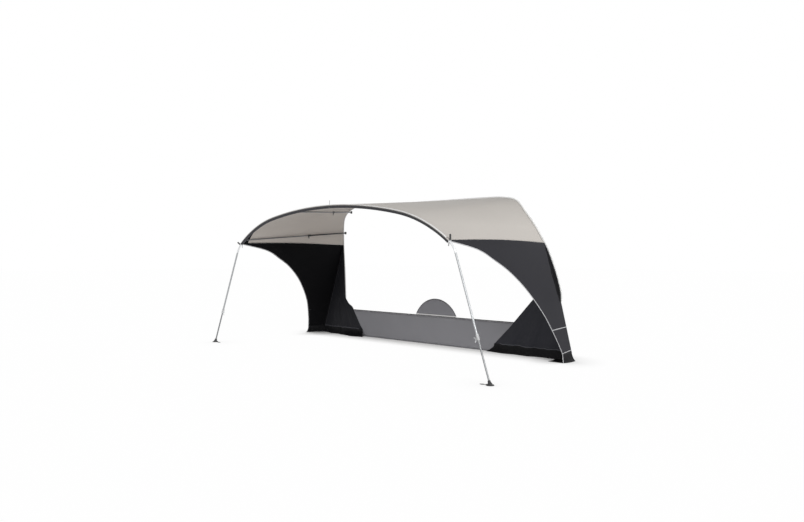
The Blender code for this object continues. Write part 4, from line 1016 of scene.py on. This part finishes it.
def buildHem():
    columns = shares(hem["along"])
    turns = [2 * math.pi * part for part in shares(hem["sides"])[:-1]]
    stations = [[aroundHoop(share, sleeve["radius"], turn) for turn in turns] for share in columns]
    dressed(sweptPiece("hemSleeve", stations, finishes["hem"], sleeve["radius"] - sleeve["bore"]),
            "front_hem_sleeve")
    rows = []
    for part in shares(hem["rows"]):
        row = []
        for share in columns:
            place = aroundHoop(share, -sleeve["radius"] - hem["drop"] * part, 0)
            place.y += hem["wave"] * math.sin(hem["waves"] * share) * part
            row.append(place)
        rows.append(row)
    valance = makeSheet("hemValance", rows, finishes["hem"], finishes["hem"])
    dressed(valance, "front_valance")


def buildStrapTail(side):
    start = aroundHoop(0.0 if side < 0 else 1.0, sleeve["radius"] + 0.001, math.pi * 0.75)
    line = [start + Vector((side * 0.004, 0, 0.004))]
    for share in shares(8)[1:]:
        line.append(start + Vector((-side * hem["tailSwing"] * share ** 2, -0.003 * share,
                                    -hem["tailLength"] * share)))
    tail = rod("strapTail" + nameOf(side).title(), line, [xWay] * len(line),
               hem["tailHalfWidth"], hem["tailHalfThickness"], finishes["binding"])
    dressed(tail)


print("front hem")
buildHem()
for side in (-1, 1):
    buildStrapTail(side)


# Draught skirt, its trim, and the wheel arch cover
skirt = {
    "left": -2.07, "right": 2.12, "height": 0.50, "folds": 9, "wave": 0.006,
    "down": 12, "across": 160, "trimHeight": 0.012, "trimDepth": 0.006, "trimRound": 0.0012,
    "coverCentre": 0.10, "coverHalfWidth": 0.465, "coverRise": 0.285, "coverHem": 0.014,
    "coverSag": 0.002, "coverAlong": 48, "coverDown": 8, "edgeHalf": (0.005, 0.003),
    "bandRise": 0.010, "bandProud": 0.003, "bandHalf": (0.0095, 0.002), "gap": 0.0003,
}


def buildSkirt():
    rows = []
    for part in shares(skirt["down"]):
        height = skirt["height"] * (1 - part) + awning["fabric"] / 2 * part
        hang = 1 - height / skirt["height"]
        row = []
        for share in shares(skirt["across"]):
            wave = skirt["wave"] * hang * math.sin(skirt["folds"] * math.pi * share) ** 2
            x = skirt["left"] + (skirt["right"] - skirt["left"]) * share
            row.append(Vector((x, railY - layers["skirt"] + wave, height)))
        rows.append(row)
    sheet = makeSheet("skirtSheet", rows, finishes["skirt"], finishes["skirt"])
    dressed(sheet, "draught_skirt")
    low = skirt["height"] + sidePanel["seamGap"]
    high = low + skirt["trimHeight"]
    y, half = railY - layers["trim"], skirt["trimDepth"] / 2
    stations = [[Vector((x, y + across, height)) for across, height in
                 ((-half, low), (half, low), (half, high), (-half, high))]
                for x in (skirt["left"], skirt["right"])]
    trim = bevelled(sweptPiece("skirtTrim", stations, finishes["trim"]), skirt["trimRound"], 3, 40)
    dressed(trim, "skirt_trim")
    buildWheelCover(high + skirt["gap"], y)


def buildWheelCover(low, y):
    rise, half = skirt["coverRise"], skirt["coverHalfWidth"]
    radius = (half ** 2 + rise ** 2) / (2 * rise)
    spread = math.asin(half / radius)
    arc = []
    for part in shares(skirt["coverAlong"]):
        turn = spread * (1 - 2 * part)
        arc.append(Vector((skirt["coverCentre"] - radius * math.sin(turn), y,
                           low + skirt["coverHem"] + rise - radius * (1 - math.cos(turn)))))
    rows = []
    for share in shares(skirt["coverDown"]):
        sag = skirt["coverSag"] * math.sin(math.pi * share)
        rows.append([Vector((point.x, y - sag, low + (point.z - low) * (1 - share)))
                     for point in arc])
    cover = makeSheet("wheelCover", rows, finishes["wheelCover"], finishes["wheelCover"])
    dressed(cover, "wheel_arch_cover")
    edge = rod("wheelCoverBinding", arc, [zWay] * len(arc), *skirt["edgeHalf"], finishes["hem"])
    dressed(edge)
    line = [Vector((point.x, y - skirt["bandProud"], low + skirt["bandRise"]))
            for point in arc[::4]]
    foot = rod("wheelCoverFoot", line, [zWay] * len(line), *skirt["bandHalf"],
               finishes["whiteTape"])
    dressed(foot)


print("skirt and wheel cover")
buildSkirt()


# Rail bead: a round cord in a flat tape that follows the rail all the way round
bead = {
    "along": 240,
    "profile": [(-0.0095, -0.0035), (-0.0095, 0.013), (-0.0060, 0.0185), (0.0, 0.0200),
                (0.0045, 0.0185), (0.0058, 0.0120), (0.0058, -0.0035)],  # back, and outwards
}


def buildBead():
    line = resample(rails[-1][::-1] + rails[1][1:], bead["along"])
    stations = []
    for index, point in enumerate(line):
        before, after = line[max(index - 1, 0)], line[min(index + 1, len(line) - 1)]
        run = (after - before).normalized()
        outwards = Vector((-run.y, 0, run.x))
        stations.append([Vector((point.x, railY + back, point.y)) + outwards * proud
                         for back, proud in bead["profile"]])
    dressed(sweptPiece("railBead", stations, finishes["bead"]), "rail_bead")


print("rail bead")
buildBead()


# Tubes and fittings, modelled once each about their own axes and copied into place
hardware = {
    "tubeRadius": 0.014, "wall": 0.0012, "plugRadius": 0.0121, "plugLength": 0.060,
    "jointShare": 0.75,  # of the crown arc's half, where the hoop's lengths meet
    "bendRadius": 0.35, "splay": math.radians(20.4), "lean": math.radians(2.6),
    "lowerRadius": 0.0118, "clampHeight": 0.61, "insertion": 0.30, "footFloor": 0.0243,
    "poleRear": 0.0125, "poleFront": 0.0100, "rearLength": 0.90, "poleInsertion": 0.36,
    "gap": 0.0003, "tubeSides": 36,
    "facetSlack": 1.0196,  # keeps the flats of a many-sided bore clear of the tube in it
    "axis": 0.0004,  # ring that stands for the axis until it is closed
    "mergeWithin": 0.00002,
    "ears": ((-0.0093, -0.0053), (0.0053, 0.0093)),
}

bodyOfNode = {}
for body, nodes in frame["record"]["behaviour"]["bodies"].items():
    for node in nodes:
        bodyOfNode[node] = body


def frameAt(origin, xAxis, yAxis):
    turn = Matrix((xAxis, yAxis, xAxis.cross(yAxis))).transposed().to_4x4()
    return Matrix.Translation(origin) @ turn


def slid(place, distance):
    return place @ Matrix.Translation((0, 0, distance))


here = Vector((0, 0, 0))
sidewaysX = frameAt(here, yWay, zWay)  # its Z is the old X


def closeUp(fill=True):
    bpy.ops.mesh.select_all(action='SELECT')
    bpy.ops.mesh.remove_doubles(threshold=hardware["mergeWithin"])
    if fill:
        bpy.ops.mesh.fill_holes(sides=0)
    bpy.ops.mesh.normals_make_consistent(inside=False)
    bpy.ops.object.mode_set(mode='OBJECT')


def ring(radius, sides):
    deselect()
    bpy.ops.mesh.primitive_circle_add(vertices=sides, radius=radius, fill_type='NOTHING')
    return bpy.context.object


def pulled(distance):
    bpy.ops.mesh.extrude_region_move(TRANSFORM_OT_translate={"value": (0, 0, distance)})


# A ring drawn down the profile; a profile that comes back to its start leaves a bore
def turnedPiece(profile, sides=32):
    radius, height = profile[0]
    piece = ring(radius, sides)
    editAll(piece)
    bpy.ops.transform.translate(value=(0, 0, height))
    for wide, high in profile[1:]:
        pulled(high - height)
        scale = wide / radius
        bpy.ops.transform.resize(value=(scale, scale, 1), center_override=(0, 0, high))
        radius, height = wide, high
    closeUp()
    return piece


# The same, closed flat over its axis at both ends
def filledPiece(profile, sides=32):
    axis = hardware["axis"]
    return turnedPiece([(axis, profile[0][1]), *profile, (axis, profile[-1][1])], sides)


def roundBar(radius, top, bottom, sides):
    return filledPiece([(radius, top), (radius, bottom)], sides)


def platePiece(outline, low, high):
    deselect()
    bpy.ops.mesh.primitive_circle_add(vertices=len(outline), radius=0.01, fill_type='NGON')
    piece = bpy.context.object
    for vertex, (x, y) in zip(piece.data.vertices, outline):
        vertex.co = (x, y, low)
    editAll(piece)
    pulled(high - low)
    closeUp()
    return piece


# Corners of an outline rounded off by a short curve
def rounded(outline, reach, steps=4):
    points = []
    count = len(outline)
    for index in range(count):
        before, corner, after = [Vector(outline[(index + offset) % count])
                                 for offset in (-1, 0, 1)]
        start, end = [corner + (other - corner).normalized()
                      * min(reach, (other - corner).length * 0.45) for other in (before, after)]
        for t in shares(steps):
            points.append(tuple(start * (1 - t) ** 2 + corner * 2 * t * (1 - t) + end * t ** 2))
    return points


def boxOutline(halfWide, halfHigh):
    return [(-halfWide, -halfHigh), (halfWide, -halfHigh), (halfWide, halfHigh),
            (-halfWide, halfHigh)]


def shifted(piece, place):
    piece.data.transform(place)
    return piece


def discard(*pieces):
    for piece in pieces:
        bpy.data.objects.remove(piece, do_unlink=True)


def combined(piece, tool, operation):
    step = piece.modifiers.new("join", 'BOOLEAN')
    step.operation = operation
    step.solver = 'EXACT'
    step.object = tool
    applyModifiers(piece)
    discard(tool)
    return piece


def added(piece, tool, place=Matrix.Identity(4)):
    return combined(piece, shifted(tool, place), 'UNION')


def cutOut(piece, tool, place=Matrix.Identity(4)):
    return combined(piece, shifted(tool, place), 'DIFFERENCE')


def cutFlat(piece, point, direction):
    editAll(piece)
    bpy.ops.mesh.bisect(plane_co=point, plane_no=direction, use_fill=True, clear_outer=True)
    bpy.ops.mesh.select_all(action='SELECT')
    bpy.ops.mesh.normals_make_consistent(inside=False)
    bpy.ops.object.mode_set(mode='OBJECT')
    return piece


# Grooves pressed between every second pair of faces round a band, as on a moulded grip
def ribbed(piece, low, high, radius, depth):
    makeActive(piece)
    mesh = piece.data
    for polygon in mesh.polygons:
        centre = polygon.center
        turn = math.atan2(centre.y, centre.x) / (2 * math.pi)
        slot = int(turn * 32 + 64.5)
        polygon.select = (low < centre.z < high and math.hypot(centre.x, centre.y) > radius
                          and slot % 2 == 0)
    bpy.ops.object.mode_set(mode='EDIT')
    bpy.ops.mesh.select_mode(type='FACE')
    bpy.ops.mesh.inset(thickness=0.0005, depth=-depth, use_individual=True)
    bpy.ops.mesh.select_mode(type='VERT')
    bpy.ops.object.mode_set(mode='OBJECT')
    return piece


def softened(piece, width, segments=2):
    return smoothed(bevelled(piece, width, segments, 35))


def fitted(template, node, place, finish, mirrored=False):
    piece = template.copy()
    piece.data = template.data.copy()
    piece.name = "fitted_" + node
    bpy.context.collection.objects.link(piece)
    piece.data.transform(place)
    if mirrored:
        piece.data.transform(Matrix.Scale(-1, 4, (1, 0, 0)))
        piece.data.flip_normals()
    piece.data.materials.clear()
    piece.data.materials.append(finishes[finish])
    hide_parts(node)
    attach(piece, bodyOfNode[node])
    return piece


def fittedOnce(piece, node, finish, place=Matrix.Identity(4)):
    fitted(piece, node, place, finish)
    discard(piece)


def openTube(radius, low, high):
    bore, rim = radius - hardware["wall"], hardware["gap"]
    return smoothed(turnedPiece([(bore, high), (radius - rim, high), (radius, high - rim),
                                 (radius, low + rim), (radius - rim, low), (bore, low),
                                 (bore, high)], hardware["tubeSides"]))


# Clamp with a stepped bore, a ribbed waist and a boss for its screw; the wider tube is above Z = 0
def clampPiece(outer, inner, length, wall):
    gap, slack = hardware["gap"], hardware["facetSlack"]
    wide, narrow = (outer + gap) * slack, (inner + gap) * slack
    radius, half = wide + wall, length / 2
    waist = radius - 0.0012
    clamp = turnedPiece([
        (wide, half), (radius - wall / 3, half), (radius - 0.0006, half - 0.0012),
        (radius, half - 0.0040), (radius, half - 0.0090), (waist, half - 0.0105), (waist, 0.0030),
        (radius, 0.0010), (radius, -half + 0.0040), (radius - 0.0008, -half + 0.0012),
        (radius - wall / 2.5, -half), (narrow, -half), (narrow, -gap), (wide, -gap), (wide, half)])
    tip = radius + 0.010
    sideways = Matrix.Translation((0, 0, -length / 4)) @ sidewaysX
    boss = filledPiece([(0.0078, tip), (0.0088, tip - 0.0010), (0.0090, tip - 0.0040),
                        (0.0090, narrow + wall / 2)], 28)
    added(clamp, boss, sideways)
    cutOut(clamp, roundBar(0.0044, 2 * tip, inner / 2, 20), sideways)
    softened(clamp, 0.0005)
    return ribbed(clamp, 0.0025, half - 0.0100, waist - 0.0004, 0.0007), sideways, tip


# Wing screw on the boss: hub, two wings that lie along the tube, and a plain shank
def screwPiece(sideways, tip, inner, span):
    base = tip + hardware["gap"]
    top, half = base + 0.012, span / 2
    hub = filledPiece([(0.0050, top), (0.0066, top - 0.0010), (0.0080, base + 0.0030),
                       (0.0090, base + 0.0008), (0.0086, base), (0.0038, base),
                       (0.0038, inner + 0.0012), (0.0028, inner + 0.0003)], 28)
    rise = top + 0.018
    wing = [(-half, rise), (-half * 0.72, rise), (-0.0050, top - 0.0040), (0.0050, top - 0.0040),
            (half * 0.72, rise), (half, rise), (half * 0.62, base + 0.0030),
            (-half * 0.62, base + 0.0030)]
    wings = shifted(platePiece(rounded(wing, 0.006), -0.0024, 0.0024), sidewaysX)
    added(hub, softened(wings, 0.0009))
    return softened(shifted(hub, sideways), 0.0004)


def turnAbout(first, across, radius, angle):
    return first * (radius * math.sin(angle)) + across * (radius * (1 - math.cos(angle)))


# Frames along the bend that leads from the hoop's end into a leg, Z down the tube
def bendFrames(side):
    start = hoopPoint(1 if side > 0 else 0)
    first = Vector((side * math.cos(cornerAngle), 0, -math.sin(cornerAngle)))
    last = Vector((side * math.tan(hardware["splay"]), -math.tan(hardware["lean"]), -1))
    last.normalize()
    across = (last - first * last.dot(first)).normalized()
    bend = math.acos(first.dot(last))
    hinge = first.cross(across)
    end = start + turnAbout(first, across, hardware["bendRadius"], bend)
    return (frameAt(start, hinge, first.cross(hinge)), frameAt(end, hinge, last.cross(hinge)),
            bend, last)


# Frame of a leg: origin on the ground, Z up the tube, X inwards
def legFrame(side):
    _, end, _, down = bendFrames(side)
    top = end.translation
    ground = top + down * (top.z / -down.z)
    inwards = Vector((-side, 0, 0))
    acrossLeg = (inwards - down * inwards.dot(down)).normalized()
    return frameAt(ground, acrossLeg, (-down).cross(acrossLeg)), (top - ground).length


def hoopShareAt(x):
    low, high = 0.0, 1.0
    for halving in range(40):
        middle = (low + high) / 2
        if hoopPoint(middle).x < x:
            low = middle
        else:
            high = middle
    return low


poleHoopX = {"outer": awning["cornerHalfWidth"] - 0.090, "inner": 0.91}
motion = {joint["name"]: joint for joint in frame["joints"]}


# Frame of a roof pole: origin on its wall pin, Z along the pole to the hoop, Y upwards
def poleFrame(side, kind):
    name = kind + "_pole_" + nameOf(side)
    start = Vector(motion[name + "_swing"]["pos_m"])
    run = Vector(motion[name + "_slide"]["axis"]).normalized()
    share = hoopShareAt(side * poleHoopX[kind])
    across = zWay.cross(run).normalized()
    return (frameAt(start, across, run.cross(across)), (hoopPoint(share) - start).dot(run), share)


# Hoop in three lengths, each an arc drawn by spinning a ring; a step narrows or widens the ring
def hoopTube(share, radius, moves):
    piece = ring(radius, hardware["tubeSides"])
    piece.data.transform(frameAt(hoopPoint(share), yWay, outwardsAt(share)))
    editAll(piece)
    for kind, *values in moves:
        if kind == "arc":
            end, centre, steps = values
            bend = hoopAngle(end) - hoopAngle(share)
            bpy.ops.mesh.spin(steps=steps, angle=-bend, center=centre, axis=(0, 1, 0))
            share = end
        else:
            pulled(0)
            bpy.ops.transform.resize(value=values * 3, center_override=hoopPoint(share))
    closeUp(fill=False)
    return smoothed(thickened(piece, hardware["wall"]))


def buildHoopTubes():
    crown = Vector((0, railY - awning["depth"], awning["hoopHeight"] - awning["crownRadius"]))
    reach = awning["crownHalfWidth"] - shoulderRadius * math.sin(crownAngle)
    drop = awning["hoopHeight"] - crownDrop - shoulderRadius * math.cos(crownAngle)
    whole = 2 * hoopHalf
    bend = 0.5 - crownLength / whole
    joint = 0.5 - hardware["jointShare"] * crownLength / whole
    trim, plug = hardware["gap"] / whole, hardware["plugLength"] / whole
    wide, narrow = hardware["tubeRadius"], hardware["plugRadius"]
    left = Vector((-reach, crown.y, drop))
    right = Vector((reach, crown.y, drop))
    runs = {
        "left": (trim, wide, [("arc", bend, left, 20), ("arc", joint - trim, crown, 4)]),
        "centre": (joint - plug, narrow, [("arc", joint, crown, 2), ("step", wide / narrow),
                                          ("arc", 1 - joint, crown, 24), ("step", narrow / wide),
                                          ("arc", 1 - joint + plug, crown, 2)]),
        "right": (1 - joint + trim, wide, [("arc", 1 - bend, crown, 4),
                                           ("arc", 1 - trim, right, 20)]),
    }
    for name, run in runs.items():
        fittedOnce(hoopTube(*run), "hoop_tube_" + name, "tube")


def buildCorner(side):
    start, end, bend, _ = bendFrames(side)
    plug, full, length = [hardware[key] for key in ("plugRadius", "tubeRadius", "plugLength")]
    piece = ring(plug, hardware["tubeSides"])
    editAll(piece)
    bpy.ops.transform.translate(value=(0, 0, -length))
    pulled(length)
    pulled(0)
    bpy.ops.transform.resize(value=(full / plug, full / plug, 1), center_override=(0, 0, 0))
    bpy.ops.mesh.spin(steps=18, angle=-bend, center=(0, -hardware["bendRadius"], 0),
                      axis=(1, 0, 0))
    bpy.ops.mesh.select_all(action='DESELECT')
    bpy.ops.object.mode_set(mode='OBJECT')
    piece.data.transform(end.inverted() @ start)
    for vertex in piece.data.vertices:
        vertex.select = abs(vertex.co.z) < 0.0001 and math.hypot(*vertex.co.xy) < 0.02
    bpy.ops.object.mode_set(mode='EDIT')
    pulled(0)
    bpy.ops.transform.resize(value=(plug / full, plug / full, 1), center_override=(0, 0, 0))
    pulled(length)
    closeUp()
    piece.data.transform(end)
    softened(piece, 0.0003, 1)
    fittedOnce(piece, "corner_bend_" + nameOf(side), "bend")
    buildCornerCap(side, start)


# Black cap that stands on the corner and takes the strap's eyelet
cornerCap = {"radius": 0.013, "rise": 0.080, "lean": {-1: 62, 1: 0}}


def buildCornerCap(side, start):
    radius, rise = cornerCap["radius"], cornerCap["rise"]
    lean = math.radians(cornerCap["lean"][side])
    skew = abs(cornerAngle - lean)
    seat = hardware["tubeRadius"] / math.cos(skew) + radius * math.tan(skew)
    top = seat + rise
    cap = filledPiece([
        (0.0060, top), (0.0095, top - 0.0022), (0.0120, top - 0.0060), (radius, top - 0.0120),
        (radius, top - 0.0200), (0.0112, top - 0.0215), (0.0112, top - 0.0245),
        (radius, top - 0.0260), (radius, seat + 0.0080), (0.0122, seat + 0.0070),
        (0.0122, seat + 0.0055), (radius, seat + 0.0045), (radius, seat), (0.0029, seat),
        (0.0029, -0.0045)])
    softened(cap, 0.0004, 1)
    ribbed(cap, seat + 0.0085, top - 0.0265, 0.0125, 0.0006)
    place = slid(start, radius + sleeve["radius"]).translation
    upright = Matrix.Translation(place) @ Matrix.Rotation(-lean, 4, 'Y')
    fittedOnce(cap, "corner_cap_" + nameOf(side), "blackPlastic", upright)


def buildCentreSpike():
    under = -sleeve["radius"] - hardware["gap"]
    spike = turnedPiece([
        (hardware["axis"], 0.092), (0.0010, 0.0915), (0.0021, 0.0850), (0.0030, 0.0740),
        (0.0030, under), (0.0100, under), (0.0124, under - 0.0010), (0.0130, under - 0.0025),
        (0.0130, under - 0.0165), (0.0120, under - 0.0190), (0.0090, under - 0.0200),
        (hardware["axis"], under - 0.0200)])
    softened(spike, 0.0003, 1)
    ribbed(spike, under - 0.0160, under - 0.0030, 0.0125, 0.0007)
    middle = Matrix.Translation((0, railY - awning["depth"], awning["hoopHeight"]))
    fittedOnce(spike, "centre_spike", "darkPlastic", middle)


def buildLegs():
    place, length = legFrame(-1)
    height = hardware["clampHeight"]
    wide, narrow = hardware["tubeRadius"], hardware["lowerRadius"]
    upper = openTube(wide, height, length - hardware["gap"])
    lower = openTube(narrow, hardware["footFloor"], height + hardware["insertion"])
    clamp, sideways, tip = clampPiece(wide, narrow, 0.075, 0.0065)
    screw = screwPiece(sideways, tip, narrow, 0.076)
    foot = footPiece(place)
    plate = pegPlatePiece(place.translation)
    for side in (-1, 1):
        name = nameOf(side)
        leg = legFrame(side)[0]
        fitted(upper, "upper_leg_tube_" + name, leg, "tube")
        fitted(lower, "lower_leg_tube_" + name, leg, "innerTube")
        fitted(clamp, "leg_clamp_" + name, slid(leg, height), "greyPlastic")
        fitted(screw, "leg_clamp_screw_" + name, slid(leg, height), "paleMetal")
        fitted(foot, "foot_" + name, Matrix.Identity(4), "blackPlastic", mirrored=side > 0)
        fitted(plate, "peg_plate_" + name, Matrix.Identity(4), "blackPlastic", mirrored=side > 0)
    discard(upper, lower, clamp, screw, foot, plate)


# Rubber foot of the left leg: a ringed neck, a level sole and two lugs with the plate's pin
def footPiece(leg):
    bore = 0.0124
    neck = filledPiece([
        (bore, 0.0240), (bore, 0.0620), (0.0178, 0.0620), (0.0189, 0.0608), (0.0190, 0.0565),
        (0.0176, 0.0550), (0.0176, 0.0505), (0.0192, 0.0490), (0.0197, 0.0430), (0.0214, 0.0370),
        (0.0246, 0.0300), (0.0292, 0.0235), (0.0310, 0.0180), (0.0310, -0.0400)], 40)
    shifted(neck, leg)
    level = Matrix.Translation(leg.translation)
    sole = filledPiece([
        (0.0330, 0.0100), (0.0345, 0.0090), (0.0385, 0.0090), (0.0400, 0.0100), (0.0445, 0.0098),
        (0.0482, 0.0078), (0.0500, 0.0045), (0.0500, -0.0300)], 48)
    added(neck, sole, level)
    lug = rounded([(0.025, -0.006), (0.0628, -0.006), (0.0628, 0.0110), (0.025, 0.0110)], 0.004)
    upright = level @ frameAt(here, xWay, zWay)
    for low, high in hardware["ears"]:
        added(neck, platePiece(lug, low, high), upright)
    pinPlace = upright @ Matrix.Translation((pegPin["x"], pegPin["z"], 0))
    added(neck, roundBar(0.0025, 0.0092, -0.0092, 20), pinPlace)
    cutFlat(neck, (0, 0, 0), (0, 0, -1))
    return softened(neck, 0.0005, 1)


# Pin that the peg plate turns on, seen from the foot of the leg
pegPin = {"x": 0.0578, "z": 0.0060, "eye": 0.0057}


def pegPlatePiece(ground):
    eye, rise = pegPin["eye"], pegPin["z"]
    start, end, half, strip = eye + 0.020, eye + 0.100, 0.026, 0.0044
    middle = (start + end) / 2
    outline = rounded([(0.0026, -strip), (start, -strip), (middle, -half), (end, 0),
                       (middle, half), (start, strip), (0.0026, strip)], 0.003)
    plate = softened(platePiece(outline, -rise, -rise + 0.003), 0.0006)
    barrel = turnedPiece([(eye, 0.0049), (eye, -0.0049), (0.0029, -0.0049), (0.0029, 0.0049),
                          (eye, 0.0049)], 24)
    added(plate, barrel, frameAt(here, xWay, -zWay))
    cutOut(plate, roundBar(0.0060, 0.02, -0.02, 24), Matrix.Translation((middle, 0, 0)))
    shifted(plate, Matrix.Translation(ground + Vector((pegPin["x"], 0, rise))))
    return softened(plate, 0.0003, 1)


def buildPoles():
    length = hardware["rearLength"]
    rearBore = hardware["poleRear"] - hardware["wall"]
    rear = turnedPiece([
        (hardware["axis"], 0.0335), (rearBore, 0.0335), (rearBore, length), (0.0122, length),
        (0.0125, length - 0.0003), (0.0125, 0.0290), (0.0119, 0.0262), (0.0096, 0.0236),
        (0.0052, 0.0214), (hardware["axis"], 0.0212)], hardware["tubeSides"])
    eye = filledPiece([(0.0124, 0.0050), (0.0130, 0.0044), (0.0130, -0.0044), (0.0124, -0.0050)])
    added(rear, platePiece(boxOutline(0.0050, 0.0065), 0.0, 0.0260))
    added(rear, eye, sidewaysX)
    cutOut(rear, roundBar(0.0045, 0.02, -0.02, 24), sidewaysX)
    softened(rear, 0.0003, 1)
    clamp, sideways, tip = clampPiece(hardware["poleRear"], hardware["poleFront"], 0.060, 0.005)
    screw = screwPiece(sideways, tip, hardware["poleFront"], 0.046)
    turned = frameAt(Vector((0, 0, length)), -yWay, -xWay)
    for side in (-1, 1):
        for kind, tubeFinishName, clampFinish in (("outer", "poleTube", "blackPlastic"),
                                                  ("inner", "poleFront", "darkPlastic")):
            name = kind + "_pole_" + nameOf(side)
            place, reach, share = poleFrame(side, kind)
            fitted(rear, name + "_rear_tube", place, tubeFinishName)
            fitted(clamp, name + "_clamp", place @ turned, clampFinish)
            fitted(screw, name + "_clamp_screw", place @ turned, "darkPlastic")
            buildSaddle(name, place, reach, share)
            buildBracket(name, place)
    discard(rear, clamp, screw)


# Cradle that bears on the hoop's sleeve from behind and below, on a stem in the front tube
saddle = {"inner": 0.01784, "wall": 0.004, "halfWidth": 0.025, "turns": (-76, 24), "stem": 0.035}


def buildSaddle(name, place, reach, share):
    inner, half = saddle["inner"], saddle["halfWidth"]
    outer, near = inner + saddle["wall"], inner - 0.001
    end = reach - outer - saddle["stem"]
    front = openTube(hardware["poleFront"], hardware["rearLength"] - hardware["poleInsertion"],
                     end)
    fittedOnce(front, name + "_front_tube", "poleFront", place)
    low, high = [math.radians(turn) for turn in saddle["turns"]]
    deselect()
    bpy.ops.mesh.primitive_plane_add(size=0.01)
    band = bpy.context.object
    corners = [(near, -half), (outer, -half), (near, half), (outer, half)]
    for vertex, (radius, width) in zip(band.data.vertices, corners):
        vertex.co = (radius * math.cos(low), radius * math.sin(low), width)
    editAll(band)
    bpy.ops.mesh.spin(steps=18, angle=-(high - low), center=(0, 0, 0), axis=(0, 0, 1))
    closeUp()
    hoop = frameAt(hoopPoint(share), yWay, outwardsAt(share))
    shifted(band, hoop)
    plug, seat = hardware["poleFront"] - hardware["wall"] - 0.0004, end + hardware["gap"]
    stem = filledPiece([(0.0085, reach), (0.0085, reach - outer - 0.006),
                        (0.0100, reach - outer - 0.014), (0.0100, seat), (plug, seat),
                        (plug, seat - 0.034)], 28)
    added(band, stem, place)
    cutOut(band, roundBar(inner, 0.06, -0.06, 48), hoop)
    fittedOnce(softened(band, 0.0006), name + "_saddle", "blackPlastic")


# Wall bracket: a plate with two screw heads, two ears and the hinge pin, flush with the wall
def buildBracket(name, place):
    start, across = place.translation, place.to_3x3().col[0]
    footX = start.x + (start.y - railY) * across.y / across.x
    turnedRound = Matrix.Rotation(math.pi, 4, 'X')
    outwards = frameAt(Vector((footX, railY, start.z)), xWay, zWay) @ turnedRound
    plate = platePiece(rounded(boxOutline(0.023, 0.025), 0.006), -0.0079, 0.004)
    softened(shifted(plate, outwards), 0.0012)
    level = frameAt(start, across, zWay)
    ear = [(-0.072, 0.013), (-0.072, -0.013)] + [
        (0.013 * math.sin(math.pi * part), -0.013 * math.cos(math.pi * part))
        for part in shares(14)]
    for low, high in hardware["ears"]:
        added(plate, platePiece(ear, low, high), level @ frameAt(here, zWay, yWay))
    pin = filledPiece([(0.0034, 0.0112), (0.0042, 0.0106), (0.0042, -0.0106), (0.0034, -0.0112)],
                      24)
    added(plate, pin, level @ frameAt(here, yWay, zWay))
    for rise in (-0.0185, 0.0185):
        head = turnedPiece([(hardware["axis"], 0.0105), (0.0024, 0.0101), (0.0042, 0.0086),
                            (0.0046, 0.0070), (0.0046, 0.0040), (hardware["axis"], 0.0040)], 20)
        added(plate, head, outwards @ Matrix.Translation((0, rise, 0)) @ turnedRound)
    cutFlat(plate, (0, railY, 0), (0, 1, 0))
    fittedOnce(softened(plate, 0.0004, 1), name + "_bracket", "blackPlastic")


print("hoop, legs and poles")
buildHoopTubes()
for side in (-1, 1):
    buildCorner(side)
buildCentreSpike()
buildLegs()
buildPoles()


# Floor, light and camera
stage = {
    "floorSize": 120.0,
    "floorColour": (0.86, 0.86, 0.86),
    "contact": 0.6,  # how far the soft shadow under the edges reaches
    "contactShade": 2.4,
    "floorGlow": 0.985,
    "skyStrength": 0.44,
    "keyStrength": 2.3,
    "keyTurn": (67, 0, 70),
    "fillStrength": 0.3,
    "fillTurn": (68, 0, 10),
}


def buildFloor():
    bpy.ops.mesh.primitive_plane_add(size=stage["floorSize"], location=(0, 0, -0.0012))
    floor = bpy.context.object
    floor.name = "floor"
    made = Finish("paleFloor")
    tree = made.tree
    made.connect(Base_Color=(*stage["floorColour"], 1), Roughness=0.9, Specular_IOR_Level=0.0)
    glow = tree.nodes.new("ShaderNodeEmission")
    glow.inputs["Strength"].default_value = 1.0
    mix = tree.nodes.new("ShaderNodeMixShader")
    # To the camera the floor glows white; near the edges an occlusion pass lets the shaded floor
    # show through, a painted soft contact shadow
    clear = made.node("ShaderNodeAmbientOcclusion", {"samples": 12}, output=1,
                      Distance=stage["contact"])
    share = (rayShare(tree, "Camera", "Glossy") * (clear ** stage["contactShade"])
             * stage["floorGlow"])
    tree.links.new(share.socket, mix.inputs["Fac"])
    tree.links.new(made.shader.outputs[0], mix.inputs[1])
    tree.links.new(glow.outputs[0], mix.inputs[2])
    tree.links.new(mix.outputs[0], tree.nodes["Material Output"].inputs["Surface"])
    floor.data.materials.append(made.material)


def buildLight():
    world = bpy.data.worlds.new("paleStudio")
    bpy.context.scene.world = world
    world.use_nodes = True
    tree = world.node_tree
    sky = tree.nodes["Background"]
    sky.inputs["Color"].default_value = (1, 1, 1, 1)
    white = rayShare(tree, "Camera", "Glossy", "Transmission")
    strength = white * (1 - stage["skyStrength"]) + stage["skyStrength"]
    tree.links.new(strength.socket, sky.inputs["Strength"])
    for name, power, turn, size in (("key", stage["keyStrength"], stage["keyTurn"], 25),
                                    ("fill", stage["fillStrength"], stage["fillTurn"], 60)):
        bpy.ops.object.light_add(type='SUN', rotation=[math.radians(angle) for angle in turn])
        lamp = bpy.context.object
        lamp.name = name
        lamp.data.energy = power
        lamp.data.angle = math.radians(size)


def buildCamera():
    view = {"focal": 31.567, "place": (8.278, railY - 9.522, 1.628), "turn": 43.423,
            "shift": -0.00985}
    bpy.ops.object.camera_add(location=view["place"],
                              rotation=(math.pi / 2, 0, math.radians(view["turn"])))
    camera = bpy.context.object
    camera.data.sensor_width = 36
    camera.data.lens = view["focal"]
    camera.data.shift_y = view["shift"]
    camera.data.clip_end = 300
    bpy.context.scene.camera = camera


print("stage")
buildFloor()
buildLight()
buildCamera()
bpy.context.scene.view_settings.view_transform = 'Standard'
